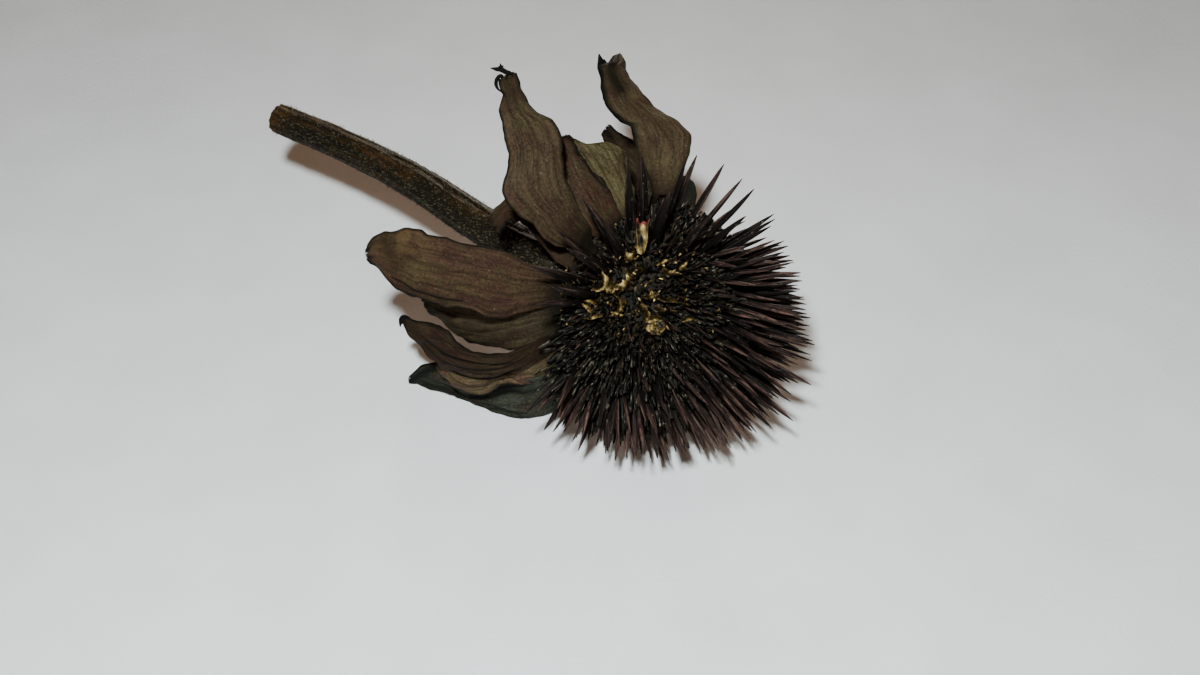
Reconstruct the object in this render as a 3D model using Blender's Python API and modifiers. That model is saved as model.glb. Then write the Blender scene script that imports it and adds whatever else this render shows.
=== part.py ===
"""Dried purple coneflower lying on its side.

The seed head is a dark dome of lance-shaped spines. Reflexed, papery petals stand out of the slot
behind it, and the flared receptacle narrows into a cut stalk. The flower's axis runs along X,
with the dome towards +X and the stalk towards -X, and the lowest spine tips rest flat at z = 0.
"""
import math

import bmesh
import bpy
import numpy as np
from mathutils import Vector

MM = 0.001
WELD = 0.01 * MM
CURVE_SAMPLES = 121

# Place of the head's centre, which puts the whole object's box over the origin
HEAD_X = 20.6 * MM
HEAD_Y = 0.7 * MM
AXIS_HEIGHT = 18.5 * MM

# Clear gap between neighbouring pieces
GAP = 0.3 * MM

# Block that stands for the table when the lowest spine tips are cut flat
TABLE_SIDE = 120 * MM
TABLE_DEPTH = 10 * MM

# Seed head
DOME_RADIUS = 11.0 * MM
DOME_LENGTH = 12.0 * MM
DOME_BACK = 3.1 * MM
DOME_STEPS = 28
DOME_RINGS = 8
SPINE_COUNT = 260
SPINE_LAST_ANGLE = math.radians(98)
SPINE_TURN = math.radians(137.5)
SPINE_SINK = 2.2 * MM
SPINE_TIP_RADIUS = 19.7 * MM
SPINE_TIP_LENGTH = 23.4 * MM
SPINE_TIP_SHIFT = (0.6 * MM, -0.8 * MM, 0.0)
SPINE_ROOT_HALF = 0.42 * MM
SPINE_BELLY_HALF = 0.6 * MM
SPINE_BELLY_SHARE = 0.6
SPINE_SPREAD = 0.93
BARE_TURN = math.radians(52)
BARE_HALF_TURN = math.radians(40)
BARE_FIRST_ANGLE = math.radians(52)
BARE_STUB_SHARE = 0.42

# Receptacle and stalk, behind the head. The route is in mm from the head's centre
BOSS_RADIUS = 8.2 * MM
CUP_RADIUS = 9.2 * MM
CUP_EDGE = 1.0 * MM
CUP_EDGE_TAPER = 0.2 * MM
CUP_DEPTH = 7.0 * MM
CUP_WAIST = [(0.45, 0.62), (0.75, 0.42)]
NECK_RADIUS = 2.9 * MM
CUP_STEPS = 28
STALK_ROUTE = [
    (-6.0, 0.0, 0.0),
    (-11.0, -1.4, -0.2),
    (-25.0, -2.9, -0.3),
    (-40.0, -3.2, 0.3),
    (-52.5, -4.8, 0.9),
    (-64.5, -7.6, 1.6),
]
STALK_HALF = [3.0, 2.8, 2.6, 2.4, 2.2, 2.1]
STALK_STATIONS = 26
BRACT_COUNT = 9
BRACT_FIRST_SHARE = 0.35
BRACT_CELLS = (2, 5)
BRACT_LENGTH = 7.5 * MM
BRACT_HALF = 1.1 * MM
BRACT_TIP_HALF = 0.25 * MM
BRACT_THICKNESS = 0.8 * MM
BRACT_BACK = 5.4 * MM
BRACT_OUT = 6.6 * MM
BRACT_ARCH = 1.2 * MM
BRACT_DROP = 1.5 * MM

# Petals. Each starts in the slot between head and receptacle, and its path then runs through
# (back, out, turn): back along the stalk and out from the axis in mm, and the turn round it in
# degrees, which is 0 at -Y and 90 at the top. Half widths, twists and edge ripples are in mm,
# degrees and (waves, mm).
PETAL_THICKNESS = 0.7 * MM
PETAL_SEAT = [(0.0, 8.8), (0.0, 9.8), (0.35, 10.9)]
PETAL_SEAT_HALF = [0.9, 1.0, 1.2]
PETAL_ACROSS = 6
PETAL_ALONG = 14
PETAL_CLEARANCE = 0.4 * MM
PETAL_STEP = 0.01
PETAL_OPENS = (0.15, 0.45)
SEAT_BOW = 0.05
RIPPLE_SLANT = 1.9
PETALS = {
    "petal_left": {
        "turn": 28,
        "path": [(9, 17.2, 25), (14.6, 21.2, 23), (20, 23.4, 22), (25.6, 24.6, 19)],
        "half": [4.1, 4.3, 4.1, 1.2],
        "twist": [0, 0, 0, 0],
        "cup": 0.25,
        "ripples": (3, 0.35),
    },
    "petal_left_under": {
        "turn": 7,
        "path": [(8.6, 14.2, 2), (15.3, 16.6, -2), (21.8, 18.2, -5)],
        "half": [2.6, 3.0, 1.0],
        "twist": [-10, -10, 0],
        "cup": 0.4,
        "ripples": (2, 0.3),
    },
    "petal_curled": {
        "turn": -14,
        "path": [(8.0, 17.4, -13), (14.4, 20.4, -14), (20.3, 21.2, -14), (24.4, 21.2, -12)],
        "half": [3.1, 3.2, 2.2, 0.8],
        "twist": [-10, -15, -15, 0],
        "cup": 0.4,
        "ripples": (3, 0.3),
    },
    "petal_folded": {
        "turn": -33,
        "path": [(8.6, 17.2, -30), (14.6, 21.2, -31), (20.3, 22.0, -30)],
        "half": [2.8, 3.3, 1.2],
        "twist": [-15, -25, -25],
        "cup": 0.4,
        "ripples": (3, 0.3),
    },
    "petal_low": {
        "turn": -52,
        "path": [(6.2, 17.8, -53), (11.4, 22.8, -50), (18.4, 24.8, -47.5), (25.4, 26.4, -43)],
        "half": [3.5, 4.0, 3.2, 0.9],
        "twist": [-25, -42, -42, -35],
        "cup": 0.2,
        "ripples": (3, 0.3),
    },
    "petal_upper": {
        "turn": 62,
        "path": [(5.6, 18.6, 62), (8.8, 23.6, 69), (14.0, 26.0, 77), (20.6, 26.6, 83)],
        "half": [4.2, 4.6, 2.9, 1.1],
        "twist": [0, 0, 0, 0],
        "cup": 0.25,
        "ripples": (3, 0.35),
    },
    "petal_reddish": {
        "turn": 80,
        "path": [(6.8, 15.0, 81), (10.8, 18.1, 85), (14.2, 19.5, 90)],
        "half": [2.6, 2.6, 0.9],
        "twist": [0, 0, 0],
        "cup": 0.3,
        "ripples": (2, 0.25),
    },
    "petal_greenish": {
        "turn": 98,
        "path": [(7.4, 13.6, 99), (11.2, 15.2, 103), (15.0, 16.6, 107)],
        "half": [2.4, 3.0, 1.6],
        "twist": [10, 15, 15],
        "cup": 0.3,
        "ripples": (2, 0.25),
    },
    "petal_tall": {
        "turn": 128,
        "path": [(5.8, 17.2, 131), (10.4, 21.2, 133), (17.2, 23.4, 135), (24.2, 26.6, 137)],
        "half": [3.7, 3.9, 2.6, 1.4],
        "twist": [40, 45, 40, 20],
        "cup": 0.25,
        "ripples": (3, 0.35),
    },
    "petal_far": {
        "turn": 174,
        "path": [(10, 15.2, 172), (17, 18.4, 168), (25.2, 21.4, 169)],
        "half": [2.6, 2.9, 1.0],
        "twist": [-36, -60, -60],
        "cup": 0.3,
        "ripples": (3, 0.3),
    },
    "petal_right": {
        "turn": 154,
        "path": [(5.6, 15.2, 158), (7.8, 19.0, 164), (9.6, 22.4, 170)],
        "half": [2.3, 2.3, 1.0],
        "twist": [10, 20, 20],
        "cup": 0.3,
        "ripples": (2, 0.25),
    },
    "petal_narrow": {
        "turn": 45,
        "path": [(7.2, 12.0, 49), (11, 14.2, 60), (14.6, 14.8, 58), (16.4, 13.8, 43)],
        "half": [1.7, 1.9, 1.6, 0.6],
        "twist": [0, 0, 0, 0],
        "cup": 0.3,
        "ripples": (2, 0.2),
    },
    "petal_far_low": {
        "turn": 208,
        "path": [(8, 17.5, 212), (14, 23, 217), (20, 27, 222)],
        "half": [3.1, 3.0, 1.2],
        "twist": [0, 0, 0],
        "cup": 0.25,
        "ripples": (3, 0.3),
    },
    "petal_bottom": {
        "turn": 262,
        "path": [(9, 14.4, 264), (16, 16.6, 266), (23, 17.6, 268)],
        "half": [3.1, 3.0, 1.2],
        "twist": [0, 0, 0],
        "cup": 0.25,
        "ripples": (3, 0.3),
    },
}

HEAD_COLOR = (0.030, 0.018, 0.016, 1.0)
STALK_COLOR = (0.11, 0.085, 0.045, 1.0)
PETAL_COLOR = (0.13, 0.095, 0.070, 1.0)


def start_scene():
    """An empty scene with one collection for the flower and one for what cuts it."""
    for old in list(bpy.data.objects):
        bpy.data.objects.remove(old, do_unlink=True)
    flower = bpy.data.collections.new("dried_coneflower")
    cutters = bpy.data.collections.new("cutters")
    bpy.context.scene.collection.children.link(flower)
    bpy.context.scene.collection.children.link(cutters)
    centre = bpy.data.objects.new("head_centre", None)
    centre.location = (HEAD_X, HEAD_Y, AXIS_HEIGHT)
    flower.objects.link(centre)
    bpy.context.view_layer.update()
    return flower, cutters, centre


def dry_material(name, color, roughness):
    """A dull Principled material."""
    material = bpy.data.materials.new(name)
    material.use_nodes = True
    shader = material.node_tree.nodes["Principled BSDF"]
    shader.inputs["Base Color"].default_value = color
    shader.inputs["Roughness"].default_value = roughness
    shader.inputs["Metallic"].default_value = 0.0
    return material


def add_object(name, bm, collection, parent, material=None):
    """The bmesh as an object that stands in its parent's frame."""
    mesh = bpy.data.meshes.new(name)
    bm.normal_update()
    bm.to_mesh(mesh)
    bm.free()
    thing = bpy.data.objects.new(name, mesh)
    collection.objects.link(thing)
    thing.parent = parent
    if material is not None:
        mesh.materials.append(material)
    return thing


def smooth_point(points, share):
    """The point at a share of a smooth curve through evenly counted points."""
    points = np.asarray(points, float)
    last = len(points) - 1
    place = min(max(share, 0.0), 1.0) * last
    first = min(int(place), last - 1)
    part = place - first
    a, b = points[first], points[first + 1]
    before = points[first - 1] if first > 0 else 2 * a - b
    after = points[first + 2] if first + 2 <= last else 2 * b - a
    bend = 2 * before - 5 * a + 4 * b - after
    sway = 3 * a - before - 3 * b + after
    return 0.5 * (2 * a + (b - before) * part + bend * part ** 2 + sway * part ** 3)


def even_shares(points, count):
    """Shares of the smooth curve that lie at even lengths along it."""
    fine = np.linspace(0.0, 1.0, CURVE_SAMPLES)
    track = np.array([smooth_point(points, share) for share in fine])
    steps = np.linalg.norm(np.diff(track, axis=0), axis=1)
    length = np.concatenate([[0.0], np.cumsum(steps)])
    return np.interp(np.linspace(0.0, length[-1], count), length, fine)


def flower_point(back, out, turn):
    """A point by its distance back along the stalk, out from the axis, and its turn, in mm and radians."""
    return np.array([-back, -out * math.cos(turn), out * math.sin(turn)]) * MM


def unit(vector):
    return vector / np.linalg.norm(vector)


def apply_modifiers(thing):
    """Bake the object's modifiers into its mesh."""
    bpy.context.view_layer.update()
    graph = bpy.context.evaluated_depsgraph_get()
    baked = bpy.data.meshes.new_from_object(thing.evaluated_get(graph))
    baked.name = thing.name
    thing.modifiers.clear()
    thing.data = baked


def join_pieces(body, pieces):
    """Fuse the pieces of a collection into the body, and remove them."""
    union = body.modifiers.new("join", "BOOLEAN")
    union.operation = "UNION"
    union.operand_type = "COLLECTION"
    union.collection = pieces
    union.solver = "MANIFOLD"
    apply_modifiers(body)
    for piece in list(pieces.objects):
        bpy.data.objects.remove(piece, do_unlink=True)
    bpy.data.collections.remove(pieces)


def turned_body(name, profile, steps, collection, parent, material):
    """A profile of (along X, out) pairs turned round the flower's axis."""
    bm = bmesh.new()
    points = [bm.verts.new((along, 0.0, out)) for along, out in profile]
    for first, second in zip(points, points[1:]):
        bm.edges.new((first, second))
    bmesh.ops.spin(
        bm,
        geom=bm.verts[:] + bm.edges[:],
        cent=(0.0, 0.0, 0.0),
        axis=(1.0, 0.0, 0.0),
        angle=2 * math.pi,
        steps=steps,
        use_merge=True,
    )
    bmesh.ops.remove_doubles(bm, verts=bm.verts, dist=WELD)
    bmesh.ops.recalc_face_normals(bm, faces=bm.faces)
    return add_object(name, bm, collection, parent, material)


def dome_profile():
    """From the flat back of the head, over its rim, to the front of the dome."""
    start = math.acos(-DOME_BACK / DOME_LENGTH)
    angles = np.linspace(start, 0.0, DOME_RINGS)
    arc = [(DOME_LENGTH * math.cos(a), DOME_RADIUS * math.sin(a)) for a in angles]
    arc[0] = (-DOME_BACK, arc[0][1])
    arc[-1] = (DOME_LENGTH, 0.0)
    return [(-DOME_BACK, 0.0)] + arc


def add_spine(number, root, tip, pieces, parent):
    """A three-sided lance from root to tip, widest along its middle."""
    length = (tip - root).length
    belly = SPINE_BELLY_SHARE * length
    bm = bmesh.new()
    bmesh.ops.create_cone(
        bm,
        cap_ends=True,
        segments=3,
        radius1=SPINE_ROOT_HALF,
        radius2=SPINE_BELLY_HALF,
        depth=belly,
    )
    bmesh.ops.translate(bm, verts=bm.verts, vec=(0.0, 0.0, belly / 2))
    top = max(bm.faces, key=lambda face: face.calc_center_median().z)
    grown = bmesh.ops.extrude_discrete_faces(bm, faces=[top])["faces"][0]
    bmesh.ops.pointmerge(bm, verts=grown.verts, merge_co=(0.0, 0.0, length))
    bmesh.ops.recalc_face_normals(bm, faces=bm.faces)
    spine = add_object(f"spine_{number:03d}", bm, pieces, parent)
    spine.location = root
    spine.rotation_mode = "QUATERNION"
    spine.rotation_quaternion = (tip - root).to_track_quat("Z", "Y")
    return spine


def spine_ends(number):
    """Root and tip of one spine, placed by an even spiral over the dome."""
    share = (number + 0.5) / SPINE_COUNT
    angle = math.acos(1.0 - (1.0 - math.cos(SPINE_LAST_ANGLE)) * share)
    spin = number * SPINE_TURN
    lean = angle * SPINE_SPREAD
    around = Vector((0.0, math.cos(spin), math.sin(spin)))
    foot = Vector((DOME_LENGTH * math.cos(angle), 0.0, 0.0)) + around * DOME_RADIUS * math.sin(angle)
    tip = Vector((SPINE_TIP_LENGTH * math.cos(lean), 0.0, 0.0)) + around * SPINE_TIP_RADIUS * math.sin(lean)
    tip += Vector(SPINE_TIP_SHIFT)
    turn = math.atan2(around.z, -around.y)
    bare = abs(turn - BARE_TURN) < BARE_HALF_TURN and angle > BARE_FIRST_ANGLE
    if bare and number % 3 != 0:
        tip = foot.lerp(tip, BARE_STUB_SHARE)
    root = foot - (tip - foot).normalized() * SPINE_SINK
    return root, tip


def seed_head(flower, cutters, centre):
    """The dome with its spines, trimmed flat where it rests on the table."""
    material = dry_material("seed_head", HEAD_COLOR, 0.55)
    head = turned_body("seed_head", dome_profile(), DOME_STEPS, flower, centre, material)
    pieces = bpy.data.collections.new("spines")
    bpy.context.scene.collection.children.link(pieces)
    for number in range(SPINE_COUNT):
        root, tip = spine_ends(number)
        add_spine(number, root, tip, pieces, centre)
    join_pieces(head, pieces)
    trim_at_table(head, cutters)
    return head


def trim_at_table(thing, cutters):
    """Cut away what would reach below z = 0."""
    bm = bmesh.new()
    bmesh.ops.create_cube(bm, size=1.0)
    bmesh.ops.scale(bm, verts=bm.verts, vec=(TABLE_SIDE, TABLE_SIDE, TABLE_DEPTH))
    table = add_object("table_" + thing.name, bm, cutters, None)
    table.location = (0.0, 0.0, -TABLE_DEPTH / 2)
    table.hide_render = True
    table.display_type = "WIRE"
    cut = thing.modifiers.new("rest", "BOOLEAN")
    cut.operation = "DIFFERENCE"
    cut.object = table
    cut.solver = "MANIFOLD"
    apply_modifiers(thing)


def stalk_body(flower, centre, material):
    """The receptacle's cup, turned, and the bent stalk as a tapering tube."""
    boss = -(DOME_BACK + GAP)
    front = boss - PETAL_THICKNESS - GAP
    waist = [(front - depth * CUP_DEPTH, width * CUP_RADIUS) for depth, width in CUP_WAIST]
    profile = [
        (boss, 0.0),
        (boss, BOSS_RADIUS),
        (front, BOSS_RADIUS),
        (front, CUP_RADIUS),
        (front - CUP_EDGE, CUP_RADIUS - CUP_EDGE_TAPER),
        *waist,
        (front - CUP_DEPTH, NECK_RADIUS),
        (front - CUP_DEPTH, 0.0),
    ]
    return turned_body("stem", profile, CUP_STEPS, flower, centre, material)


def add_stalk(pieces, centre):
    """The stalk's tube along its route, thickest at the neck."""
    route = bpy.data.curves.new("stalk", "CURVE")
    route.dimensions = "3D"
    route.bevel_depth = 1.0
    route.bevel_resolution = 3
    route.use_fill_caps = True
    line = route.splines.new("POLY")
    line.points.add(STALK_STATIONS - 1)
    for point, share in zip(line.points, even_shares(STALK_ROUTE, STALK_STATIONS)):
        place = smooth_point(STALK_ROUTE, share) * MM
        half = float(smooth_point(np.array(STALK_HALF)[:, None], share)[0])
        point.co = (*place, 1.0)
        point.radius = half * MM
    curve = bpy.data.objects.new("stalk_curve", route)
    pieces.objects.link(curve)
    bpy.context.view_layer.update()
    graph = bpy.context.evaluated_depsgraph_get()
    mesh = bpy.data.meshes.new_from_object(curve.evaluated_get(graph))
    bpy.data.objects.remove(curve, do_unlink=True)
    bm = bmesh.new()
    bm.from_mesh(mesh)
    bmesh.ops.remove_doubles(bm, verts=bm.verts, dist=WELD)
    bmesh.ops.recalc_face_normals(bm, faces=bm.faces)
    return add_object("stalk", bm, pieces, centre)


def add_bract(number, pieces, centre):
    """A narrow pointed bract, rooted in the receptacle's slope and lying back along the stalk."""
    turn = 2 * math.pi * (number + BRACT_FIRST_SHARE) / BRACT_COUNT
    cells_across, cells_along = BRACT_CELLS
    bm = bmesh.new()
    bmesh.ops.create_grid(bm, x_segments=cells_across, y_segments=cells_along, size=1.0)
    for vert in bm.verts:
        along = (vert.co.y + 1.0) / 2
        half = BRACT_HALF * (1.0 - along ** 2) + BRACT_TIP_HALF
        out = BRACT_OUT + BRACT_ARCH * math.sin(along * math.pi) - BRACT_DROP * along
        back = BRACT_BACK + BRACT_LENGTH * along
        side = vert.co.x * half
        radial = np.array([0.0, -math.cos(turn), math.sin(turn)])
        around = np.array([0.0, math.sin(turn), math.cos(turn)])
        vert.co = np.array([-back, 0.0, 0.0]) + radial * out + around * side
    bract = add_object(f"bract_{number}", bm, pieces, centre)
    shell = bract.modifiers.new("thickness", "SOLIDIFY")
    shell.thickness = BRACT_THICKNESS
    shell.offset = 0.0
    return bract


def stem(flower, centre):
    """Receptacle, stalk and bracts as one body."""
    material = dry_material("stem", STALK_COLOR, 0.8)
    body = stalk_body(flower, centre, material)
    pieces = bpy.data.collections.new("stem_pieces")
    bpy.context.scene.collection.children.link(pieces)
    add_stalk(pieces, centre)
    for number in range(BRACT_COUNT):
        add_bract(number, pieces, centre)
    join_pieces(body, pieces)
    return body


def petal_path(petal):
    """The petal's middle line, out of the slot, over the rim and back along the stalk."""
    turn = petal["turn"]
    slot_back = (DOME_BACK + GAP + PETAL_THICKNESS / 2) / MM
    stations = [(slot_back + back, out, turn) for back, out in PETAL_SEAT] + petal["path"]
    points = [flower_point(back, out, math.radians(degrees)) for back, out, degrees in stations]
    return np.array(points), np.radians([station[2] for station in stations])


def petal_frame(points, turns, share):
    """Place, sideways and outward direction of the petal at a share of its middle line."""
    place = smooth_point(points, share)
    after = smooth_point(points, min(share + PETAL_STEP, 1.0))
    before = smooth_point(points, max(share - PETAL_STEP, 0.0))
    ahead = unit(after - before)
    turn = float(smooth_point(turns[:, None], share)[0])
    side = np.array([0.0, math.sin(turn), math.cos(turn)])
    side = unit(side - side.dot(ahead) * ahead)
    face = np.cross(side, ahead)
    if face.dot([1.0, -math.cos(turn), math.sin(turn)]) < 0:
        face = -face
    return place, side, face


def petal_point(petal, points, turns, across, share):
    """A point of the petal's surface: a shallow arc across, twisted, with rippled edges."""
    place, side, face = petal_frame(points, turns, share)
    halves = PETAL_SEAT_HALF + petal["half"]
    twists = [0.0] * len(PETAL_SEAT) + petal["twist"]
    half = float(smooth_point(np.array(halves)[:, None], share)[0]) * MM
    twist = math.radians(float(smooth_point(np.array(twists)[:, None], share)[0]))
    open_share = float(np.interp(share, PETAL_OPENS, [0.0, 1.0]))
    bow = SEAT_BOW + (petal["cup"] - SEAT_BOW) * open_share
    across_line = math.cos(twist) * side + math.sin(twist) * face
    lift_line = math.cos(twist) * face - math.sin(twist) * side
    waves, height = petal["ripples"]
    phase = 2 * math.pi * waves * share + RIPPLE_SLANT * across
    ripple = height * MM * open_share * across ** 2 * math.sin(phase)
    reach = half * math.sin(bow * across) / bow
    lift = half * (math.cos(bow * across) - 1.0) / bow + ripple
    return place + across_line * reach + lift_line * lift


def add_petal(name, petal, flower, centre, material):
    """One petal as a thin closed blade, kept clear of the table."""
    points, turns = petal_path(petal)
    shares = even_shares(points, PETAL_ALONG + 1)
    bm = bmesh.new()
    bmesh.ops.create_grid(bm, x_segments=PETAL_ACROSS, y_segments=PETAL_ALONG, size=1.0)
    lowest = PETAL_CLEARANCE - AXIS_HEIGHT
    for vert in bm.verts:
        row = round((vert.co.y + 1.0) / 2 * PETAL_ALONG)
        spot = petal_point(petal, points, turns, vert.co.x, shares[row])
        spot[2] = max(spot[2], lowest)
        vert.co = spot
    bmesh.ops.triangulate(bm, faces=bm.faces)
    blade = add_object(name, bm, flower, centre, material)
    shell = blade.modifiers.new("thickness", "SOLIDIFY")
    shell.thickness = PETAL_THICKNESS
    shell.offset = 0.0
    shell.use_even_offset = False
    return blade


def petals(flower, centre):
    """All petals, each its own body."""
    material = dry_material("petal", PETAL_COLOR, 0.85)
    for name, petal in PETALS.items():
        add_petal(name, petal, flower, centre, material)


def build():
    flower, cutters, centre = start_scene()
    seed_head(flower, cutters, centre)
    stem(flower, centre)
    petals(flower, centre)


build()
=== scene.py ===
"""Looks of the dried coneflower: papery petals, a spiny seed head, a bristly stalk and the studio."""
import math

import bpy
import numpy as np
from mathutils import Matrix, Vector


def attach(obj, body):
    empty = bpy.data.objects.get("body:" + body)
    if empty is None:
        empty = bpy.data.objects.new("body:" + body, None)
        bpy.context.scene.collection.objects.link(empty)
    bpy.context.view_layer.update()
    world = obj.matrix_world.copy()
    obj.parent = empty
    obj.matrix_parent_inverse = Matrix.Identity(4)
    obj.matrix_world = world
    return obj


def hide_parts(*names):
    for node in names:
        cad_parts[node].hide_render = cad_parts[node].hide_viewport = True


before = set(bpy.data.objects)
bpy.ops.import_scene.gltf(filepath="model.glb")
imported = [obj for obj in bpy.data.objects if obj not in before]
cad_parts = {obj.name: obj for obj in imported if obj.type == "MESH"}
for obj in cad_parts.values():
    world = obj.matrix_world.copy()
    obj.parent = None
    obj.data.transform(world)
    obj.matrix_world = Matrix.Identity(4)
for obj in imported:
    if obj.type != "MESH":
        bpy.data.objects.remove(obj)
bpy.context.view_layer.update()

MM = 0.001
UP = np.array([0.0, 0.0, 1.0])
DOWN = np.array([0.0, 0.0, -1.0])
CURVE_STEPS = 241

# Head, as in the solid model, in mm and degrees
HEAD = np.array([20.6, 0.7, 18.5])
DOME_RADIUS = 11.0
DOME_LENGTH = 12.0
DOME_BACK = 3.1
SPINE_TIP_RADIUS = 19.7
SPINE_TIP_LENGTH = 23.4
SPINE_TIP_SHIFT = np.array([0.6, -0.8, 0.0])
SPINE_LAST_ANGLE = 98.0
SPINE_SPREAD = 0.93

# Fine spines, florets and loose flecks: how many, their half widths, how deep their roots are and how
# low they may come in mm, and the seeds of their random draws
GOLDEN_TURN = math.radians(137.508)
SPINE_COUNT = 430
SPINE_HALF = (0.33, 0.48)
SPINE_ROOT = 1.6
SPINE_SINK = 1.4
SPINE_LOWEST = 0.12
SPINE_SEED = 7
BLACK_REDNESS = 0.32
FLORET_COUNT = 3000
FLORET_LAST_ANGLE = 99.0
FLORET_HALF = (0.15, 0.30)
FLORET_ROOT = 0.6
FLORET_LOWEST = 0.1
FLORET_PROFILE = [0.9, 0.8, 0.9, 1.05, 1.10, 0.60]
FLORET_SEED = 11
FLECK_COUNT = 190
FLECK_REACH = 78.0
FLECK_SEED = 23
CHAFF_SEED = 19

# The worn side: where it faces, how much of a spine is left at each angle from there, the angles
# between which the rim's own spines get whole, and the stretch of the rim where they stand apart
WORN_ANGLE = 64.0
WORN_TURN = 52.0
WORN_DEGREES = [0.0, 22.0, 44.0, 58.0, 68.0]
WORN_REACH = [0.16, 0.20, 0.40, 0.80, 1.0]
RIM_ANGLES = [66.0, 82.0]
SPARSE_ANGLE = 58.0
SPARSE_TURNS = (-10.0, 158.0)
SPARSE_STUB = 0.30

# The broad black spines that stand alone there, and the slender ones along the rim that the picture
# shows against the floor: the pixels of their tips, how far out those are, and their half widths in mm
LONE_TIPS = [
    (529, 266), (530, 304), (548, 284), (556, 229), (566, 248), (582, 197), (602, 222), (628, 167),
    (642, 151), (671, 190), (714, 212),
]
RIM_TIPS = [
    (686, 160), (697, 155), (724, 164), (742, 179), (754, 189), (746, 216), (774, 214), (775, 219),
    (771, 226), (775, 240), (784, 241), (788, 246), (784, 252), (794, 262), (787, 274), (794, 282),
    (798, 285), (797, 291), (804, 297), (805, 304), (804, 309), (807, 314), (811, 318), (810, 326),
    (806, 330), (803, 335), (813, 341), (815, 345), (811, 355), (812, 361), (798, 365), (811, 385),
    (798, 383), (791, 402), (779, 415), (793, 421), (773, 429), (757, 433), (751, 439), (743, 442),
    (724, 446), (715, 441), (712, 449), (707, 452), (686, 453), (676, 452), (657, 458), (636, 456),
    (626, 460), (615, 461), (609, 448), (596, 446), (578, 451), (572, 442), (563, 433), (553, 432),
    (544, 430), (526, 413),
]
LONE_REACH = 21.6
RIM_REACH = 21.0
LONE_HALF = 0.66
LONE_PROFILE = [1.00, 1.02, 1.04, 1.06, 1.06, 1.04, 0.98, 0.88, 0.74, 0.56, 0.34, 0.06]
SHORT_TIPS = [
    (641, 234), (612, 256), (660, 246), (674, 240), (692, 252), (598, 252), (583, 272), (575, 288),
    (706, 262), (570, 322), (648, 262), (632, 262),
]
SHORT_REACH = 15.2
SPINE_PROFILE = [0.62, 0.72, 0.82, 0.91, 0.97, 1.00, 1.00, 0.97, 0.88, 0.72, 0.48, 0.12]

# Chaff on the worn side: pixels along each crest, its half width and height in mm, and its paleness, which
# scales the painted highlight along its top
CHAFF_BALL = 12.5
CUP_PIXELS = [(641.0, 251.0), (643.0, 217.0)]
RIDGES = [
    ([(600, 270), (603, 274), (606, 280), (605, 287), (600, 290), (593, 289)], 0.48, 0.8, 1.0),
    ([(626, 269), (628, 275), (627, 281), (622, 286), (616, 285)], 0.48, 0.8, 1.0),
    ([(605, 287), (611, 290), (618, 288), (624, 290)], 0.70, 0.4, 0.40),
    ([(619, 242), (622, 250), (626, 256), (632, 256), (636, 247)], 0.55, 0.7, 0.80),
    ([(643, 297), (648, 299), (654, 296), (659, 294)], 0.42, 0.7, 0.80),
    ([(657, 298), (664, 301), (673, 301), (682, 303), (690, 305)], 0.26, 0.4, 0.50),
    ([(617, 297), (621, 302), (621, 309), (617, 313)], 0.38, 0.5, 0.55),
    ([(640, 303), (645, 308), (648, 314), (646, 320)], 0.34, 0.7, 0.62),
    ([(563, 305), (570, 302), (578, 303), (585, 305), (590, 311), (592, 318)], 0.36, 0.5, 0.75),
    ([(596, 306), (592, 302), (585, 301)], 0.32, 0.5, 0.60),
    ([(611, 316), (617, 314), (623, 316)], 0.34, 0.5, 0.85),
    ([(657, 266), (662, 263), (668, 260)], 0.36, 0.6, 1.0),
    ([(679, 270), (683, 267), (687, 263)], 0.36, 0.6, 0.95),
    ([(682, 322), (691, 320), (701, 324)], 0.30, 0.4, 0.55),
    ([(584, 318), (594, 317), (603, 316)], 0.28, 0.4, 0.60),
    ([(600, 276), (597, 268), (598, 261)], 0.36, 0.5, 0.65),
    ([(632, 276), (637, 270), (636, 262)], 0.34, 0.5, 0.60),
    ([(662, 268), (670, 272), (680, 274)], 0.30, 0.4, 0.80),
    ([(655, 306), (664, 310), (676, 311)], 0.30, 0.4, 0.55),
]
BUTTON_PIXEL = (656.0, 327.0)
BUTTON_RADIUS = 1.15
CUP_SKIN = 0.18
CUP_ABOVE = [0.8, 3.6]
BUTTON_ABOVE = 0.4
FLECK_ABOVE = (0.2, 1.2)
FLECK_LENGTH = (0.14, 0.50)
FLECK_HALF = (0.04, 0.10)
FLECK_SKIN = 0.1

# Across a crest: how far to the side and up, and how pale, which paints a highlight along the top and
# shade at the feet; and the button's rings from its edge to its middle: share of its radius, height in
# mm, and paleness, which paints shade in the sunken rings and a highlight on the raised ones
CREST_PROFILE = [(-1.0, -1.3), (-0.62, -0.15), (-0.22, 0.72), (0.0, 1.0), (0.16, 0.90), (0.55, -0.10),
                 (1.0, -1.3)]
CREST_PAINTED_LIGHT = np.array([0.0, 0.25, 0.8, 1.0, 0.9, 0.2, 0.0])
BUTTON_RINGS = [
    (1.15, -1.2, 0.0), (1.0, -0.2, 0.10), (0.82, 0.16, 0.52), (0.62, -0.08, 0.10),
    (0.44, 0.18, 0.50), (0.24, -0.06, 0.12), (0.02, 0.06, 0.30),
]

# Stalk, as in the solid model, in mm from the head's centre
STALK_ROUTE = [
    (-6.0, 0.0, 0.0),
    (-11.0, -1.4, -0.2),
    (-25.0, -2.9, -0.3),
    (-40.0, -3.2, 0.3),
    (-52.5, -4.8, 0.9),
    (-64.5, -7.6, 1.6),
]
STALK_HALF = [3.0, 2.8, 2.6, 2.4, 2.2, 2.1]

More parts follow.
